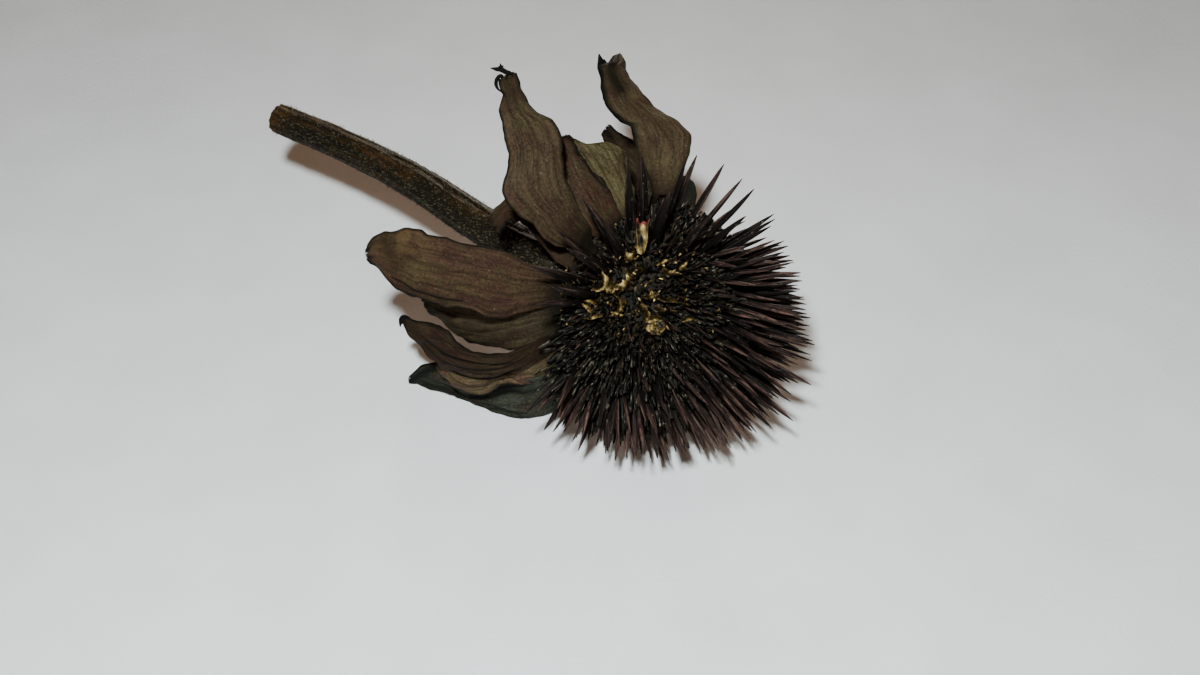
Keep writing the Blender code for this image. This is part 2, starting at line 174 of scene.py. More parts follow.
# The cut end's rings: share of the radius, depth in mm, and how orange; and the receptacle's
# outline: distance back and out in mm; and the turn of the stalk's browner side in degrees
STALK_END = [(0.90, 0.10, 0.9), (0.70, 0.05, 1.0), (0.62, -0.35, 0.55), (0.35, -0.6, 0.35), (0.06, -0.7, 0.3)]
RECEPTACLE_PROFILE = [
    (-3.5, 8.1), (-4.45, 8.2), (-4.45, 9.15), (-5.1, 9.15), (-5.9, 8.6),
    (-7.2, 6.6), (-9.0, 4.7), (-11.0, 3.3), (-13.5, 2.7),
]
BROWN_BAND = 262.0

# Bristles and bracts, in mm
BRISTLE_COUNT = 2800
BRISTLE_LENGTH = (0.18, 0.55)
BRISTLE_HALF = (0.035, 0.06)
BRISTLE_ROOT = 0.06
BRISTLE_SEED = 31
BRACT_COUNT = 24
BRACT_SKIN = 0.2
BRACT_SEED = 41

# Camera, in the reference picture's own frame of 1200 x 675
FRAME_WIDTH = 1200.0
FRAME_HEIGHT = 675.0
CAMERA_AZIMUTH = math.radians(43.0)
CAMERA_ELEVATION = math.radians(43.0)
CAMERA_DISTANCE = 193.0
CAMERA_LENS = 45.0
SENSOR_WIDTH = 36.0
CLIP_START = 0.005
HEAD_PIXEL = (640.0, 300.0)
OUTLINE_LIMIT = 1.7
OUTLINE_ROUNDS = 3

# Studio, in mm and watts: the key's place is from the lens
FLOOR_SIDE = 4000.0
KEY_LEFT = 17.0
KEY_UP = 42.0
KEY_BACK = 12.0
KEY_RADIUS = 7.5
KEY_POWER = 4.8
KEY_COLOR = (0.90, 0.985, 1.0)
FILL_DISTANCE = 600.0
FILL_SIZE = 100.0
FILL_RISE = 0.09
FILLS = [(223.0, 0.038), (133.0, 0.013), (313.0, 0.010)]
FILL_SPREAD = 16.0
FILL_COLOR = (1.0, 0.86, 0.72)
RING_COUNT = 8
RING_RADIUS = 720.0
RING_HEIGHT = 520.0
RING_SIZE = 240.0
RING_POWER = 0.30
RING_SPREAD = 92.0
RING_COLOR = (1.0, 0.97, 0.93)
SURROUND = (1.0, 0.54, 0.26, 1.0)
SURROUND_STRENGTH = 0.16

# Petals: the turn at the seat, and (back, out, turn) along the middle. Half widths of both sides,
# twists, the bow across and the ripples. The look, gold near the tip and a gain in brightness. Widths
# of the dark margins. Dark lines, each a slight dip that is painted dark: painted shade along folds,
# hollows and overlapping edges, and some dark tips and patches; as pixels, width in pixels and
# strength. Threads at the tip, as pixels and half width in mm. The outline's pixels in the reference
# picture, from the tip along one edge to the base and back along the other.
PETAL_SLOT = 3.75
PETAL_SEAT = [(0.0, 8.8), (0.0, 9.8), (0.35, 10.9)]
PETAL_SEAT_HALF = [0.9, 1.0, 1.2]
PETAL_SKIN = 0.22
LINE_DEPTH = 0.24
FLOOR_GAP = 0.05
PETAL_ROWS = 140
PETAL_COLUMNS = 48
PETALS = {
    "petal_left": {
        "turn": 28, "path": [(9, 17.2, 25), (14.6, 21.2, 23), (20, 23.4, 22), (25.6, 24.6, 19)],
        "half": [4.1, 4.3, 4.1, 1.2], "twist": [0, 0, 0, 0], "cup": 0.25, "ripples": (3, 0.35),
        "look": "brown", "gold": 0.25, "gain": 0.89,
        "dark_and_shade_lines": [
            ([(384, 236), (386, 250), (396, 262)], 11.0, 0.52),
            ([(392, 278), (403, 283), (414, 290), (430, 295), (446, 299), (462, 301)], 1.7, 0.95),
            ([(364, 258), (374, 266), (384, 278), (398, 290), (416, 297)], 2.6, 1.0),
            ([(385, 240), (405, 246), (430, 250), (462, 258), (500, 266)], 1.0, 0.35),
            ([(380, 258), (410, 268), (445, 274), (490, 280), (530, 286)], 1.0, 0.35),
            ([(420, 282), (450, 290), (480, 300), (510, 303)], 1.2, 0.45),
        ],
        "outline": [
            (362, 255), (373, 237), (385, 231), (391, 233), (409, 228), (422, 230), (427, 235), (447, 238),
            (468, 245), (491, 248), (509, 253), (524, 262), (562, 272), (560, 306), (534, 309), (514, 315),
            (504, 318), (488, 317), (473, 310), (458, 306), (447, 308), (430, 300), (414, 297), (396, 290),
            (386, 280), (378, 269), (368, 263),
        ],
    },
    "petal_left_under": {
        "turn": 7, "path": [(8.6, 14.2, 2), (15.3, 16.6, -2), (21.8, 18.2, -5)], "half": [2.6, 3.0, 1.0],
        "twist": [-10, -10, 0], "cup": 0.4, "ripples": (2, 0.3), "look": "deep", "gain": 1.0,
        "dark_and_shade_lines": [
            ([(420, 304), (430, 318), (446, 330), (468, 341), (484, 347)], 1.8, 0.95),
            ([(436, 318), (456, 328), (484, 332), (515, 326), (540, 318)], 1.1, 0.6),
            ([(430, 304), (455, 316), (485, 322), (515, 318)], 1.1, 0.5),
        ],
        "outline": [
            (412, 296), (440, 294), (480, 296), (520, 300), (560, 300), (560, 330), (545, 340), (530, 347),
            (512, 353), (490, 354), (476, 346), (464, 341), (455, 336), (448, 338), (437, 332), (425, 323),
            (419, 312),
        ],
    },
    "petal_curled": {
        "turn": -14, "path": [(8.0, 17.4, -13), (14.4, 20.4, -14), (20.3, 21.2, -14), (24.4, 21.2, -12)],
        "half": [3.1, 3.2, 2.2, 0.8], "twist": [-10, -15, -15, 0], "cup": 0.4, "ripples": (3, 0.3),
        "look": "brown", "gain": 0.56,
        "dark_and_shade_lines": [
            ([(424, 340), (440, 352), (462, 361), (490, 366), (515, 363), (530, 354)], 1.4, 1.0),
            ([(412, 328), (420, 340), (432, 352)], 5.0, 0.55),
            ([(436, 350), (445, 356), (464, 362), (482, 365), (500, 365), (514, 360), (526, 352),
              (533, 346)], 2.0, 1.0),
            ([(418, 330), (430, 343), (446, 351), (466, 356), (486, 358), (506, 357)], 1.1, 0.6),
            ([(424, 345), (438, 358), (455, 366), (478, 370), (500, 369), (520, 364)], 1.7, 0.9),
            ([(428, 326), (440, 336), (452, 346), (468, 352)], 1.0, 0.4),
        ],
        "outline": [
            (402, 320), (408, 317), (417, 321), (428, 322), (440, 326), (450, 332), (456, 341), (466, 348),
            (473, 351), (488, 354), (509, 353), (529, 345), (556, 331), (562, 345), (540, 358), (519, 368),
            (499, 373), (478, 374), (460, 371), (445, 367), (432, 357), (421, 346), (411, 334), (406, 326),
        ],
        "threads": [
            ([(414, 325), (407, 319), (403, 318), (401, 322), (400, 327)], 0.4),
        ],
    },
    "petal_folded": {
        "turn": -33, "path": [(8.6, 17.2, -30), (14.6, 21.2, -31), (20.3, 22.0, -30)],
        "half": [2.8, 3.3, 1.2], "twist": [-15, -25, -25], "cup": 0.4, "ripples": (3, 0.3), "look": "tan",
        "gain": 1.78,
        "dark_and_shade_lines": [
            ([(444, 364), (453, 371), (466, 377), (481, 379), (497, 377), (510, 372), (524, 366)], 1.9, 1.0),
            ([(447, 374), (458, 382), (472, 387), (486, 385), (498, 380), (514, 377), (532, 374)], 1.2, 0.7),
            ([(460, 368), (478, 372), (500, 370), (520, 364)], 1.1, 0.5),
        ],
        "outline": [
            (436, 352), (450, 356), (480, 360), (510, 358), (540, 348), (562, 340), (568, 358), (550, 369),
            (542, 376), (537, 381), (525, 383), (514, 382), (502, 383), (491, 391), (481, 394), (468, 392),
            (455, 385), (445, 375), (438, 364),
        ],
    },
    "petal_low": {
        "turn": -52, "path": [(6.2, 17.8, -53), (11.4, 22.8, -50), (18.4, 24.8, -47.5), (25.4, 26.4, -43)],
        "half": [3.5, 4.0, 3.7, 2.0], "twist": [-25, -42, -42, -35], "cup": 0.2, "ripples": (3, 0.3),
        "look": "dark", "gain": 1.5,
        "dark_and_shade_lines": [
            ([(404, 384), (416, 378), (430, 370), (442, 366), (456, 380)], 9.0, 0.86),
            ([(424, 386), (444, 390), (464, 398)], 7.0, 0.8),
            ([(480, 400), (492, 398), (502, 394), (514, 392), (527, 393), (540, 389)], 3.4, 1.0),
            ([(462, 397), (474, 403), (490, 405), (508, 412), (526, 414)], 1.6, 0.8),
            ([(425, 378), (445, 386), (462, 394), (478, 398)], 1.6, 0.7),
            ([(418, 386), (440, 392), (458, 400)], 2.0, 0.6),
            ([(470, 398), (486, 396), (500, 390), (516, 386), (532, 384)], 5.5, 1.0),
            ([(470, 406), (482, 409), (496, 409), (510, 413), (524, 417)], 2.6, 0.75),
            ([(452, 398), (464, 406), (474, 410)], 3.0, 0.6),
        ],
        "outline": [
            (404, 384), (409, 377), (421, 366), (430, 359), (445, 360), (470, 372), (500, 372), (530, 368),
            (560, 352), (590, 350), (588, 366), (575, 392), (560, 408), (542, 416), (529, 420), (518, 423),
            (508, 421), (497, 415), (484, 411), (472, 412), (463, 406), (455, 397), (436, 390), (415, 386),
        ],
    },
    "petal_upper": {
        "turn": 62, "path": [(5.6, 18.6, 62), (8.8, 23.6, 69), (14.0, 26.0, 77), (20.6, 26.6, 83)],
        "half": [4.2, 4.6, 2.9, 1.1], "twist": [0, 0, 0, 0], "cup": 0.25, "ripples": (3, 0.35),
        "look": "tan", "gain": 0.85, "rims": (0.3, 0.6),
        "dark_and_shade_lines": [
            ([(520, 80), (524, 92), (530, 104), (538, 112), (548, 117)], 2.4, 1.0),
            ([(505, 78), (507, 100), (515, 125), (522, 150), (530, 180), (545, 210)], 1.1, 0.45),
            ([(512, 85), (520, 110), (534, 132), (545, 160), (552, 190), (566, 220)], 1.1, 0.45),
            ([(508, 168), (512, 185), (524, 204), (540, 222), (556, 238)], 1.3, 0.6),
            ([(545, 125), (553, 145), (555, 170), (562, 196)], 1.1, 0.4),
            ([(508, 72), (508, 84), (514, 96)], 9.0, 0.4),
        ],
        "outline": [
            (500, 72), (508, 70), (516, 73), (519, 80), (522, 90), (529, 104), (538, 113), (550, 118),
            (558, 129), (562, 140), (563, 160), (564, 176), (570, 188), (574, 199), (583, 216), (590, 227),
            (591, 246), (570, 248), (555, 246), (543, 238), (533, 223), (520, 216), (508, 203), (503, 191),
            (504, 181), (509, 166), (509, 153), (505, 140), (503, 125), (500, 110), (503, 95), (499, 85),
        ],
        "threads": [
            ([(512, 74), (506, 72), (502, 69), (500, 63)], 0.3),
            ([(507, 73), (501, 70), (496, 69), (490, 68)], 0.27),
            ([(498, 70), (500, 67), (504, 66)], 0.2),
            ([(504, 77), (500, 76), (497, 79), (496, 84), (498, 89), (501, 92)], 0.24),
        ],
    },
    "petal_reddish": {
        "turn": 80, "path": [(6.8, 15.0, 81), (10.8, 18.1, 85), (14.2, 19.5, 90)], "half": [2.6, 2.6, 0.9],
        "twist": [0, 0, 0], "cup": 0.3, "ripples": (2, 0.25), "look": "reddish", "gain": 0.95,
        "rims": (0.35, 0.9),
        "dark_and_shade_lines": [
            ([(562, 136), (568, 136), (574, 141), (579, 152)], 5.0, 0.9),
            ([(576, 150), (586, 163), (594, 175), (606, 188)], 2.6, 0.9),
            ([(568, 150), (578, 175), (592, 200), (606, 222)], 1.1, 0.5),
        ],
        "outline": [
            (562, 135), (569, 134), (573, 138), (578, 150), (586, 161), (592, 172), (602, 179), (610, 191),
            (614, 201), (623, 216), (628, 231), (606, 242), (590, 235), (575, 208), (560, 178), (556, 150),
        ],
    },
    "petal_greenish": {
        "turn": 98, "path": [(7.4, 13.6, 99), (11.2, 15.2, 103), (15.0, 16.6, 107)],
        "half": [2.4, 3.0, 1.6], "twist": [10, 15, 15], "cup": 0.3, "ripples": (2, 0.25), "look": "olive",
        "gain": 1.16,
        "dark_and_shade_lines": [
            ([(590, 150), (602, 168), (614, 190), (626, 212)], 1.1, 0.5),
            ([(606, 150), (616, 170), (628, 192)], 1.0, 0.4),
            ([(624, 150), (625, 166), (630, 182), (638, 198)], 3.2, 0.8),
            ([(580, 148), (592, 166), (603, 186), (614, 208)], 1.2, 0.7),
            ([(612, 148), (618, 160), (622, 178), (630, 200)], 1.0, 0.5),
        ],
        "outline": [
            (571, 138), (576, 140), (586, 145), (596, 146), (607, 144), (618, 144), (625, 147), (628, 156),
            (628, 166), (631, 181), (640, 196), (644, 215), (614, 218), (604, 200), (594, 184), (582, 168),
            (574, 152),
        ],
    },
    "petal_tall": {
        "turn": 128, "path": [(5.8, 17.2, 131), (10.4, 21.2, 133), (17.2, 23.4, 135), (24.2, 26.6, 137)],
        "half": [3.7, 3.9, 2.6, 1.4], "twist": [40, 45, 40, 20], "cup": 0.25, "ripples": (3, 0.35),
        "look": "tan", "gain": 1.01, "rims": (0.75, 0.35),
        "dark_and_shade_lines": [
            ([(600, 56), (602, 75), (603, 90), (608, 103), (615, 112)], 3.0, 0.9),
            ([(612, 56), (612, 72), (620, 88)], 11.0, 0.84),
            ([(618, 92), (630, 104), (640, 116), (652, 140), (662, 170)], 1.1, 0.45),
            ([(614, 100), (626, 112), (638, 128), (648, 155), (656, 182)], 1.1, 0.45),
            ([(640, 104), (660, 126), (674, 150), (676, 175)], 1.1, 0.4),
            ([(604, 96), (612, 108), (624, 118), (632, 124)], 1.8, 0.8),
        ],
        "outline": [
            (598, 54), (603, 57), (608, 64), (614, 55), (624, 53), (625, 62), (625, 70), (630, 80),
            (637, 88), (646, 98), (655, 109), (667, 117), (679, 124), (691, 135), (691, 141), (690, 153),
            (684, 167), (679, 182), (672, 194), (654, 194), (651, 180), (647, 170), (640, 155), (636, 146),
            (633, 136), (630, 126), (621, 122), (611, 112), (605, 101), (602, 88), (601, 71), (600, 62),
        ],
        "threads": [
            ([(612, 90), (606, 78), (602, 66), (599, 54)], 0.72),
            ([(612, 82), (607, 70), (604, 59)], 0.5),
        ],
    },
    "petal_far": {
        "turn": 174, "path": [(10, 15.2, 172), (17, 18.4, 168), (25.2, 21.4, 169)],
        "half": [2.6, 2.9, 1.0], "twist": [-36, -60, -60], "cup": 0.3, "ripples": (3, 0.3), "look": "deep",
        "gain": 0.8,
        "dark_and_shade_lines": [
            ([(601, 124), (606, 130), (612, 138)], 6.0, 0.85),
            ([(606, 146), (618, 166), (634, 190)], 3.0, 0.8),
        ],
        "outline": [
            (604, 122), (610, 125), (618, 132), (627, 138), (637, 142), (650, 152), (662, 172), (672, 200),
            (676, 230), (664, 232), (650, 214), (636, 200), (624, 180), (612, 160), (604, 142), (601, 131),
        ],
    },
    "petal_right": {
        "turn": 154, "path": [(5.6, 15.2, 158), (7.8, 19.0, 164), (9.6, 22.4, 170)],
        "half": [2.3, 2.3, 1.0], "twist": [10, 20, 20], "cup": 0.3, "ripples": (2, 0.25), "look": "dark",
        "gain": 0.6,
        "outline": [
            (683, 176), (690, 179), (695, 187), (696, 197), (692, 208), (684, 222), (676, 236), (662, 236),
            (664, 214), (668, 196), (674, 182),
        ],
    },
    "petal_narrow": {
        "turn": 45, "path": [(7.2, 12.0, 49), (11, 14.2, 60), (14.6, 14.8, 58), (16.4, 13.8, 43)],
        "half": [1.7, 1.9, 1.6, 0.6], "twist": [0, 0, 0, 0], "cup": 0.3, "ripples": (2, 0.2),
        "look": "brown", "gain": 0.7,
        "outline": [
            (490, 236), (488, 227), (491, 218), (498, 208), (505, 198), (520, 192), (545, 200), (560, 220),
            (576, 250), (574, 270), (556, 262), (541, 243), (529, 228), (519, 221), (510, 225), (499, 234),
        ],
    },
    "petal_far_low": {
        "turn": 208, "path": [(8, 17.5, 212), (14, 23, 217), (20, 27, 222)], "half": [3.1, 3.0, 1.2],
        "twist": [0, 0, 0], "cup": 0.25, "ripples": (3, 0.3), "look": "brown", "gain": 0.9,
    },
    "petal_bottom": {
        "turn": 262, "path": [(9, 14.4, 264), (16, 16.6, 266), (23, 17.6, 268)], "half": [3.1, 3.0, 1.2],
        "twist": [0, 0, 0], "cup": 0.25, "ripples": (3, 0.3), "look": "dark",
    },
}


# Geometry helpers

def smooth_points(points, shares):
    """Places at the given shares of a smooth curve through evenly counted points."""
    points = np.asarray(points, float)
    if points.ndim == 1:
        points = points[:, None]
    last = len(points) - 1
    padded = np.vstack([2 * points[0] - points[1], points, 2 * points[-1] - points[-2]])
    place = np.clip(np.asarray(shares, float), 0.0, 1.0) * last
    first = np.minimum(place.astype(int), last - 1)
    part = (place - first)[..., None]
    before, a, b, after = (padded[first + step] for step in range(4))
    bend = 2 * before - 5 * a + 4 * b - after
    sway = 3 * a - before - 3 * b + after
    return 0.5 * (2 * a + (b - before) * part + bend * part ** 2 + sway * part ** 3)


def even_shares(points, count):
    """Shares of the smooth curve that lie at even lengths along it."""
    fine = np.linspace(0.0, 1.0, CURVE_STEPS)
    track = smooth_points(points, fine)
    steps = np.linalg.norm(np.diff(track, axis=0), axis=1)
    length = np.concatenate([[0.0], np.cumsum(steps)])
    return np.interp(np.linspace(0.0, length[-1], count), length, fine)


def flower_points(back, out, turn):
    """Points by distance back along the stalk and out from the axis in mm, and turn in radians."""
    place = np.stack([-back, -out * np.cos(turn), out * np.sin(turn)], axis=-1)
    return HEAD + place


def unit(vectors):
    return vectors / np.linalg.norm(vectors, axis=-1, keepdims=True)


def grid_faces(rows, columns, start=0, wrap=False):
    """Quads of a grid of points that is stored row by row."""
    across = columns if wrap else columns - 1
    row, column = np.meshgrid(np.arange(rows - 1), np.arange(across), indexing="ij")
    following = (column + 1) % columns
    a = row * columns + column
    b = row * columns + following
    return (np.stack([a, b, b + columns, a + columns], axis=-1) + start).reshape(-1, 4)


def joined(strips, wrap=False):
    """The points and faces of several grids of points as one."""
    faces = []
    total = 0
    for strip in strips:
        faces.append(grid_faces(*strip.shape[:2], start=total, wrap=wrap))
        total += strip.shape[0] * strip.shape[1]
    return np.concatenate([strip.reshape(-1, 3) for strip in strips]), np.concatenate(faces)


def full_turn(count):
    """Even angles round a full turn."""
    return np.linspace(0.0, 2 * math.pi, count, endpoint=False)


def climb(values, start, length):
    """How far values are along a stretch, held between 0 and 1."""
    return np.clip((values - start) / length, 0.0, 1.0)


def ring_rays(round_, first, second):
    """Directions round each place of a line, from two directions across it."""
    level = np.cos(round_)[None, :, None] * first[:, None, :]
    return level + np.sin(round_)[None, :, None] * second[:, None, :]


def add_mesh(name, points, faces, material, uvs=None, tones=None, smooth=True):
    """A mesh object from points in mm, with a UV place and a tone for each point."""
    points = np.reshape(points, (-1, 3))
    mesh = bpy.data.meshes.new(name)
    mesh.from_pydata((points * MM).tolist(), [], [list(face) for face in faces])
    if uvs is not None:
        layer = mesh.uv_layers.new(name="UVMap")
        index = np.zeros(len(mesh.loops), dtype=np.int32)
        mesh.loops.foreach_get("vertex_index", index)
        layer.data.foreach_set("uv", np.reshape(uvs, (-1, 2))[index].ravel())
    if tones is not None:
        colors = mesh.color_attributes.new(name="tone", type="FLOAT_COLOR", domain="POINT")
        rgba = np.ones((len(points), 4))
        rgba[:, :tones.shape[-1]] = tones.reshape(len(points), -1)
        colors.data.foreach_set("color", rgba.ravel())
    mesh.validate()
    if smooth:
        mesh.shade_smooth()
    thing = bpy.data.objects.new(name, mesh)
    bpy.context.scene.collection.objects.link(thing)
    mesh.materials.append(material)
    return thing


def add_skin(thing, thickness, offset=0.0):
    """Gives a sheet a thickness in mm."""
    skin = thing.modifiers.new("thickness", "SOLIDIFY")
    skin.thickness = thickness * MM
    skin.offset = offset


def take_place(thing, node):
    """The piece rides with the flower and stands for a solid."""
    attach(thing, "root")
    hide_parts(node)


# Material helpers

class Skin:
    """A Principled material whose colour is laid on in layers."""

    def __init__(self, name, roughness, specular):
        self.material = bpy.data.materials.new(name)
        self.material.use_nodes = True
        self.tree = self.material.node_tree
        self.shader = self.tree.nodes["Principled BSDF"]
        self.shader.inputs["Roughness"].default_value = roughness
        self.shader.inputs["Specular IOR Level"].default_value = specular
        places = self.tree.nodes.new("ShaderNodeTexCoord").outputs
        self.solid = places["Object"]
        self.along = places["UV"]
        self.color = None

    def add(self, kind, inputs, **settings):
        """A shader node with its settings, and its inputs set or linked."""
        node = self.tree.nodes.new(kind)
        for key, value in settings.items():
            setattr(node, key, value)
        for key, value in inputs.items():
            if isinstance(value, bpy.types.NodeSocket):
                self.tree.links.new(value, node.inputs[key])
            else:
                node.inputs[key].default_value = value
        return node.outputs

    def tones(self):
        """The three tones that the mesh carries."""
        tone = self.add("ShaderNodeVertexColor", {}, layer_name="tone")["Color"]
        return self.add("ShaderNodeSeparateColor", {"Color": tone})

    def noise(self, scale, detail, roughness, distortion=0.0, stretch=None, places=None):
        """A noise over the solid or other places, stretched by a scale for each axis."""
        places = places or self.solid
        if stretch:
            places = self.add("ShaderNodeMapping", {"Vector": places, "Scale": stretch})["Vector"]
        values = {"Vector": places, "Scale": scale, "Detail": detail}
        values.update({"Roughness": roughness, "Distortion": distortion})
        return self.add("ShaderNodeTexNoise", values)["Fac"]

    def streaks(self, across, along, detail, roughness, distortion=0.0):
        """A noise drawn out along the piece, by its counts across and along."""
        return self.noise(1.0, detail, roughness, distortion, (across, along, 1.0), self.along)

    def ramp(self, factor, stops):
        """A colour ramp with (place, colour) stops."""
        color = self.add("ShaderNodeValToRGB", {"Fac": factor})["Color"]
        elements = color.node.color_ramp.elements
        while len(elements) < len(stops):
            elements.new(0.5)
        for element, (place, shade) in zip(elements, stops):
            element.position = place
            element.color = (*shade, 1.0)
        return color

    def span(self, factor, low, high):
        """A factor stretched from black at low to white at high."""
        return self.add("ShaderNodeMapRange", {"Value": factor, "From Min": low, "From Max": high})["Result"]

    def combine(self, operation, values):
        """Values added or multiplied one after another."""
        total = values[0]
        for value in values[1:]:
            total = self.add("ShaderNodeMath", {0: total, 1: value}, operation=operation)[0]
        return total

    def plus(self, *values):
        return self.combine("ADD", values)

    def times(self, *values):
        return self.combine("MULTIPLY", values)

    def lay(self, color, *factors, blend="MIX"):
        """Lays a colour over the skin's own, by the product of the factors."""
        inputs = {0: self.times(*factors), 6: self.color, 7: color}
        for key in (6, 7):
            if isinstance(inputs[key], tuple):
                inputs[key] = (*inputs[key], 1.0)
        self.color = self.add("ShaderNodeMix", inputs, data_type="RGBA", blend_type=blend)[2]

    def finished(self, height=None, strength=0.0, distance=0.0):
        """The material, with its colour linked and a bump where a height is given."""
        self.tree.links.new(self.color, self.shader.inputs["Base Color"])
        if height:
            values = {"Height": height, "Strength": strength, "Distance": distance}
            normal = self.add("ShaderNodeBump", values)["Normal"]
            self.tree.links.new(normal, self.shader.inputs["Normal"])
        return self.material


# Petal skins: the colours of dots, gold, and the near-black of dark margins and of the deepest painted
# shade in folds on all of them; and by look those of the dark tone (veins, margins and painted shade in
# folds), body, olive patches and purple patches
PETAL_DOT = (0.16, 0.13, 0.09)
PETAL_GOLD = (0.115, 0.082, 0.030)
PETAL_MARGIN_AND_SHADE = (0.0018, 0.0018, 0.0014)
PETAL_LOOKS = {
    "brown": (
        (0.006, 0.004, 0.002), (0.032, 0.0172, 0.0095), (0.036, 0.026, 0.0115), (0.028, 0.0125, 0.0088),
    ),
    "tan": (
        (0.006, 0.005, 0.0025), (0.035, 0.0225, 0.0122), (0.041, 0.0315, 0.015), (0.029, 0.015, 0.01),
    ),
    "olive": (
        (0.01, 0.008, 0.0035), (0.04, 0.032, 0.015), (0.047, 0.041, 0.0185), (0.032, 0.022, 0.012),
    ),
    "reddish": (
        (0.007, 0.004, 0.0025), (0.028, 0.017, 0.0096), (0.03, 0.0215, 0.011), (0.031, 0.0125, 0.008),
    ),
    "deep": (
        (0.005, 0.004, 0.002), (0.024, 0.017, 0.0092), (0.029, 0.0235, 0.0115), (0.021, 0.0125, 0.008),
    ),
    "dark": (
        (0.002, 0.003, 0.0018), (0.016, 0.0168, 0.0118), (0.024, 0.0245, 0.0175), (0.019, 0.013, 0.009),
    ),
}


def petal_material(look):
    """Dry veined petal skin: streaks along the petal, olive and purple patches, dark margins, and painted
    shade along folds and hollows.
    """
    shade, body, olive, purple = PETAL_LOOKS[look]
    pale = tuple(2.4 * part + 0.003 for part in body)
    skin = Skin("petal_" + look, 0.75, 0.05)
    patches = skin.noise(230.0, 4.0, 0.6)
    purple_patches = skin.noise(370.0, 4.0, 0.6, stretch=(1.0, 1.0, 1.3))
    streaks = skin.streaks(17.0, 2.2, 5.0, 0.68, 0.45)
    fine_streaks = skin.streaks(46.0, 5.0, 4.0, 0.62, 0.25)
    grain = skin.noise(3200.0, 3.0, 0.6)
    tones = skin.tones()
    skin.color = body
    skin.lay(olive, skin.span(patches, 0.46, 0.62))
    skin.lay(purple, skin.span(purple_patches, 0.50, 0.62))
    skin.lay(shade, skin.span(streaks, 0.56, 0.38), 0.62)
    skin.lay(pale, skin.span(fine_streaks, 0.53, 0.70), 0.40)
    skin.lay(pale, skin.span(grain, 0.58, 0.70), 0.95 if look == "dark" else 0.45)
    skin.lay(shade, skin.span(grain, 0.46, 0.36), 0.55)
    skin.lay(PETAL_DOT, skin.span(skin.noise(2300.0, 1.0, 0.5), 0.745, 0.79), 0.35)
    skin.lay(PETAL_GOLD, tones["Green"], skin.span(purple_patches, 0.40, 0.56))
    skin.lay(tones["Blue"], 1.0, blend="MULTIPLY")
    # The dark tone lays dark margins, base and tip, and painted shade along folds, hollows and overlapping
    # edges; near-black where it is strongest.
    skin.lay(shade, tones["Red"], 0.85)
    skin.lay(PETAL_MARGIN_AND_SHADE, skin.span(tones["Red"], 0.62, 0.95))
    height = skin.plus(skin.times(streaks, 0.22), skin.times(fine_streaks, 0.22), skin.times(grain, 0.45))
    return skin.finished(height, 0.7, 0.00026)


# Petals

def picture_pixels(points):
    """Where places in mm fall in the reference picture."""
    back, right, up = camera_axes()
    rays = points - camera_eye()
    scale = CAMERA_LENS * FRAME_WIDTH / SENSOR_WIDTH / -(rays @ back)
    sideways = FRAME_WIDTH / 2 + scale * (rays @ right)
    return np.stack([sideways, FRAME_HEIGHT / 2 - scale * (rays @ up)], axis=-1)


def outline_reach(middle, across, outline):
    """How far each row runs to both sides before its line meets the outline, in mm."""
    start = picture_pixels(middle)
    step = picture_pixels(middle + across) - start
    corners = np.array(outline, float)
    sides = np.roll(corners, -1, axis=0) - corners
    offset = corners[None, :, :] - start[:, None, :]
    cross = step[:, None, 0] * sides[None, :, 1] - step[:, None, 1] * sides[None, :, 0]
    cross = np.where(np.abs(cross) < 1e-9, 1e-9, cross)
    reach = (offset[..., 0] * sides[None, :, 1] - offset[..., 1] * sides[None, :, 0]) / cross
    place = (offset[..., 0] * step[:, None, 1] - offset[..., 1] * step[:, None, 0]) / cross
    met = (place >= 0.0) & (place <= 1.0)
    low = np.full(len(middle), np.nan)
    high = np.full(len(middle), np.nan)
    for row in range(len(middle)):
        hits = np.sort(reach[row][met[row]])
        if len(hits) >= 2:
            pairs = hits[:len(hits) // 2 * 2].reshape(-1, 2)
            nearest = np.argmin(np.abs(pairs.mean(axis=1)))
            low[row], high[row] = pairs[nearest]
    return low, high


def softened(values, times):
    """A line of values smoothed a little, its ends kept."""
    for _ in range(times):
        inner = (values[:-2] + 2 * values[1:-1] + values[2:]) / 4
        values = np.concatenate([values[:1], inner, values[-1:]])
    return values


def waves(places, count, seed, rough=0.6):
    """A smooth random wavy line between about -1 and 1, the same each run."""
    random = np.random.default_rng(seed)
    total = np.zeros_like(places)
    for step in range(1, count + 1):
        total += rough ** (step - 1) * np.sin(2 * math.pi * step * places * 0.9 + random.uniform(0, 6.28))
    return total / 1.6


def petal_stations(petal):
    """Places along the petal's middle in mm, and their turns."""
    slot = [(PETAL_SLOT + back, out, petal["turn"]) for back, out in PETAL_SEAT]
    stations = np.array(slot + petal["path"], float)
    turns = np.radians(stations[:, 2])
    return flower_points(stations[:, 0], stations[:, 1], turns), turns


def petal_frame(petal, shares):
    """The middle of each row, its way across and its way out of the surface."""
    middle, turns = petal_stations(petal)
    step = 0.01
    after = smooth_points(middle, np.minimum(shares + step, 1))
    ahead = unit(after - smooth_points(middle, np.maximum(shares - step, 0)))
    turn = smooth_points(turns, shares)[..., 0]
    side = np.stack([np.zeros_like(turn), np.sin(turn), np.cos(turn)], axis=-1)
    side = unit(side - np.sum(side * ahead, axis=-1, keepdims=True) * ahead)
    face = np.cross(side, ahead)
    outward = np.stack([np.ones_like(turn), -np.cos(turn), np.sin(turn)], axis=-1)
    face = face * np.sign(np.sum(face * outward, axis=-1, keepdims=True))
    twist = np.radians(smooth_points([0.0] * len(PETAL_SEAT) + petal["twist"], shares))
    across = np.cos(twist) * side + np.sin(twist) * face
    lift = np.cos(twist) * face - np.sin(twist) * side
    return smooth_points(middle, shares), across, lift


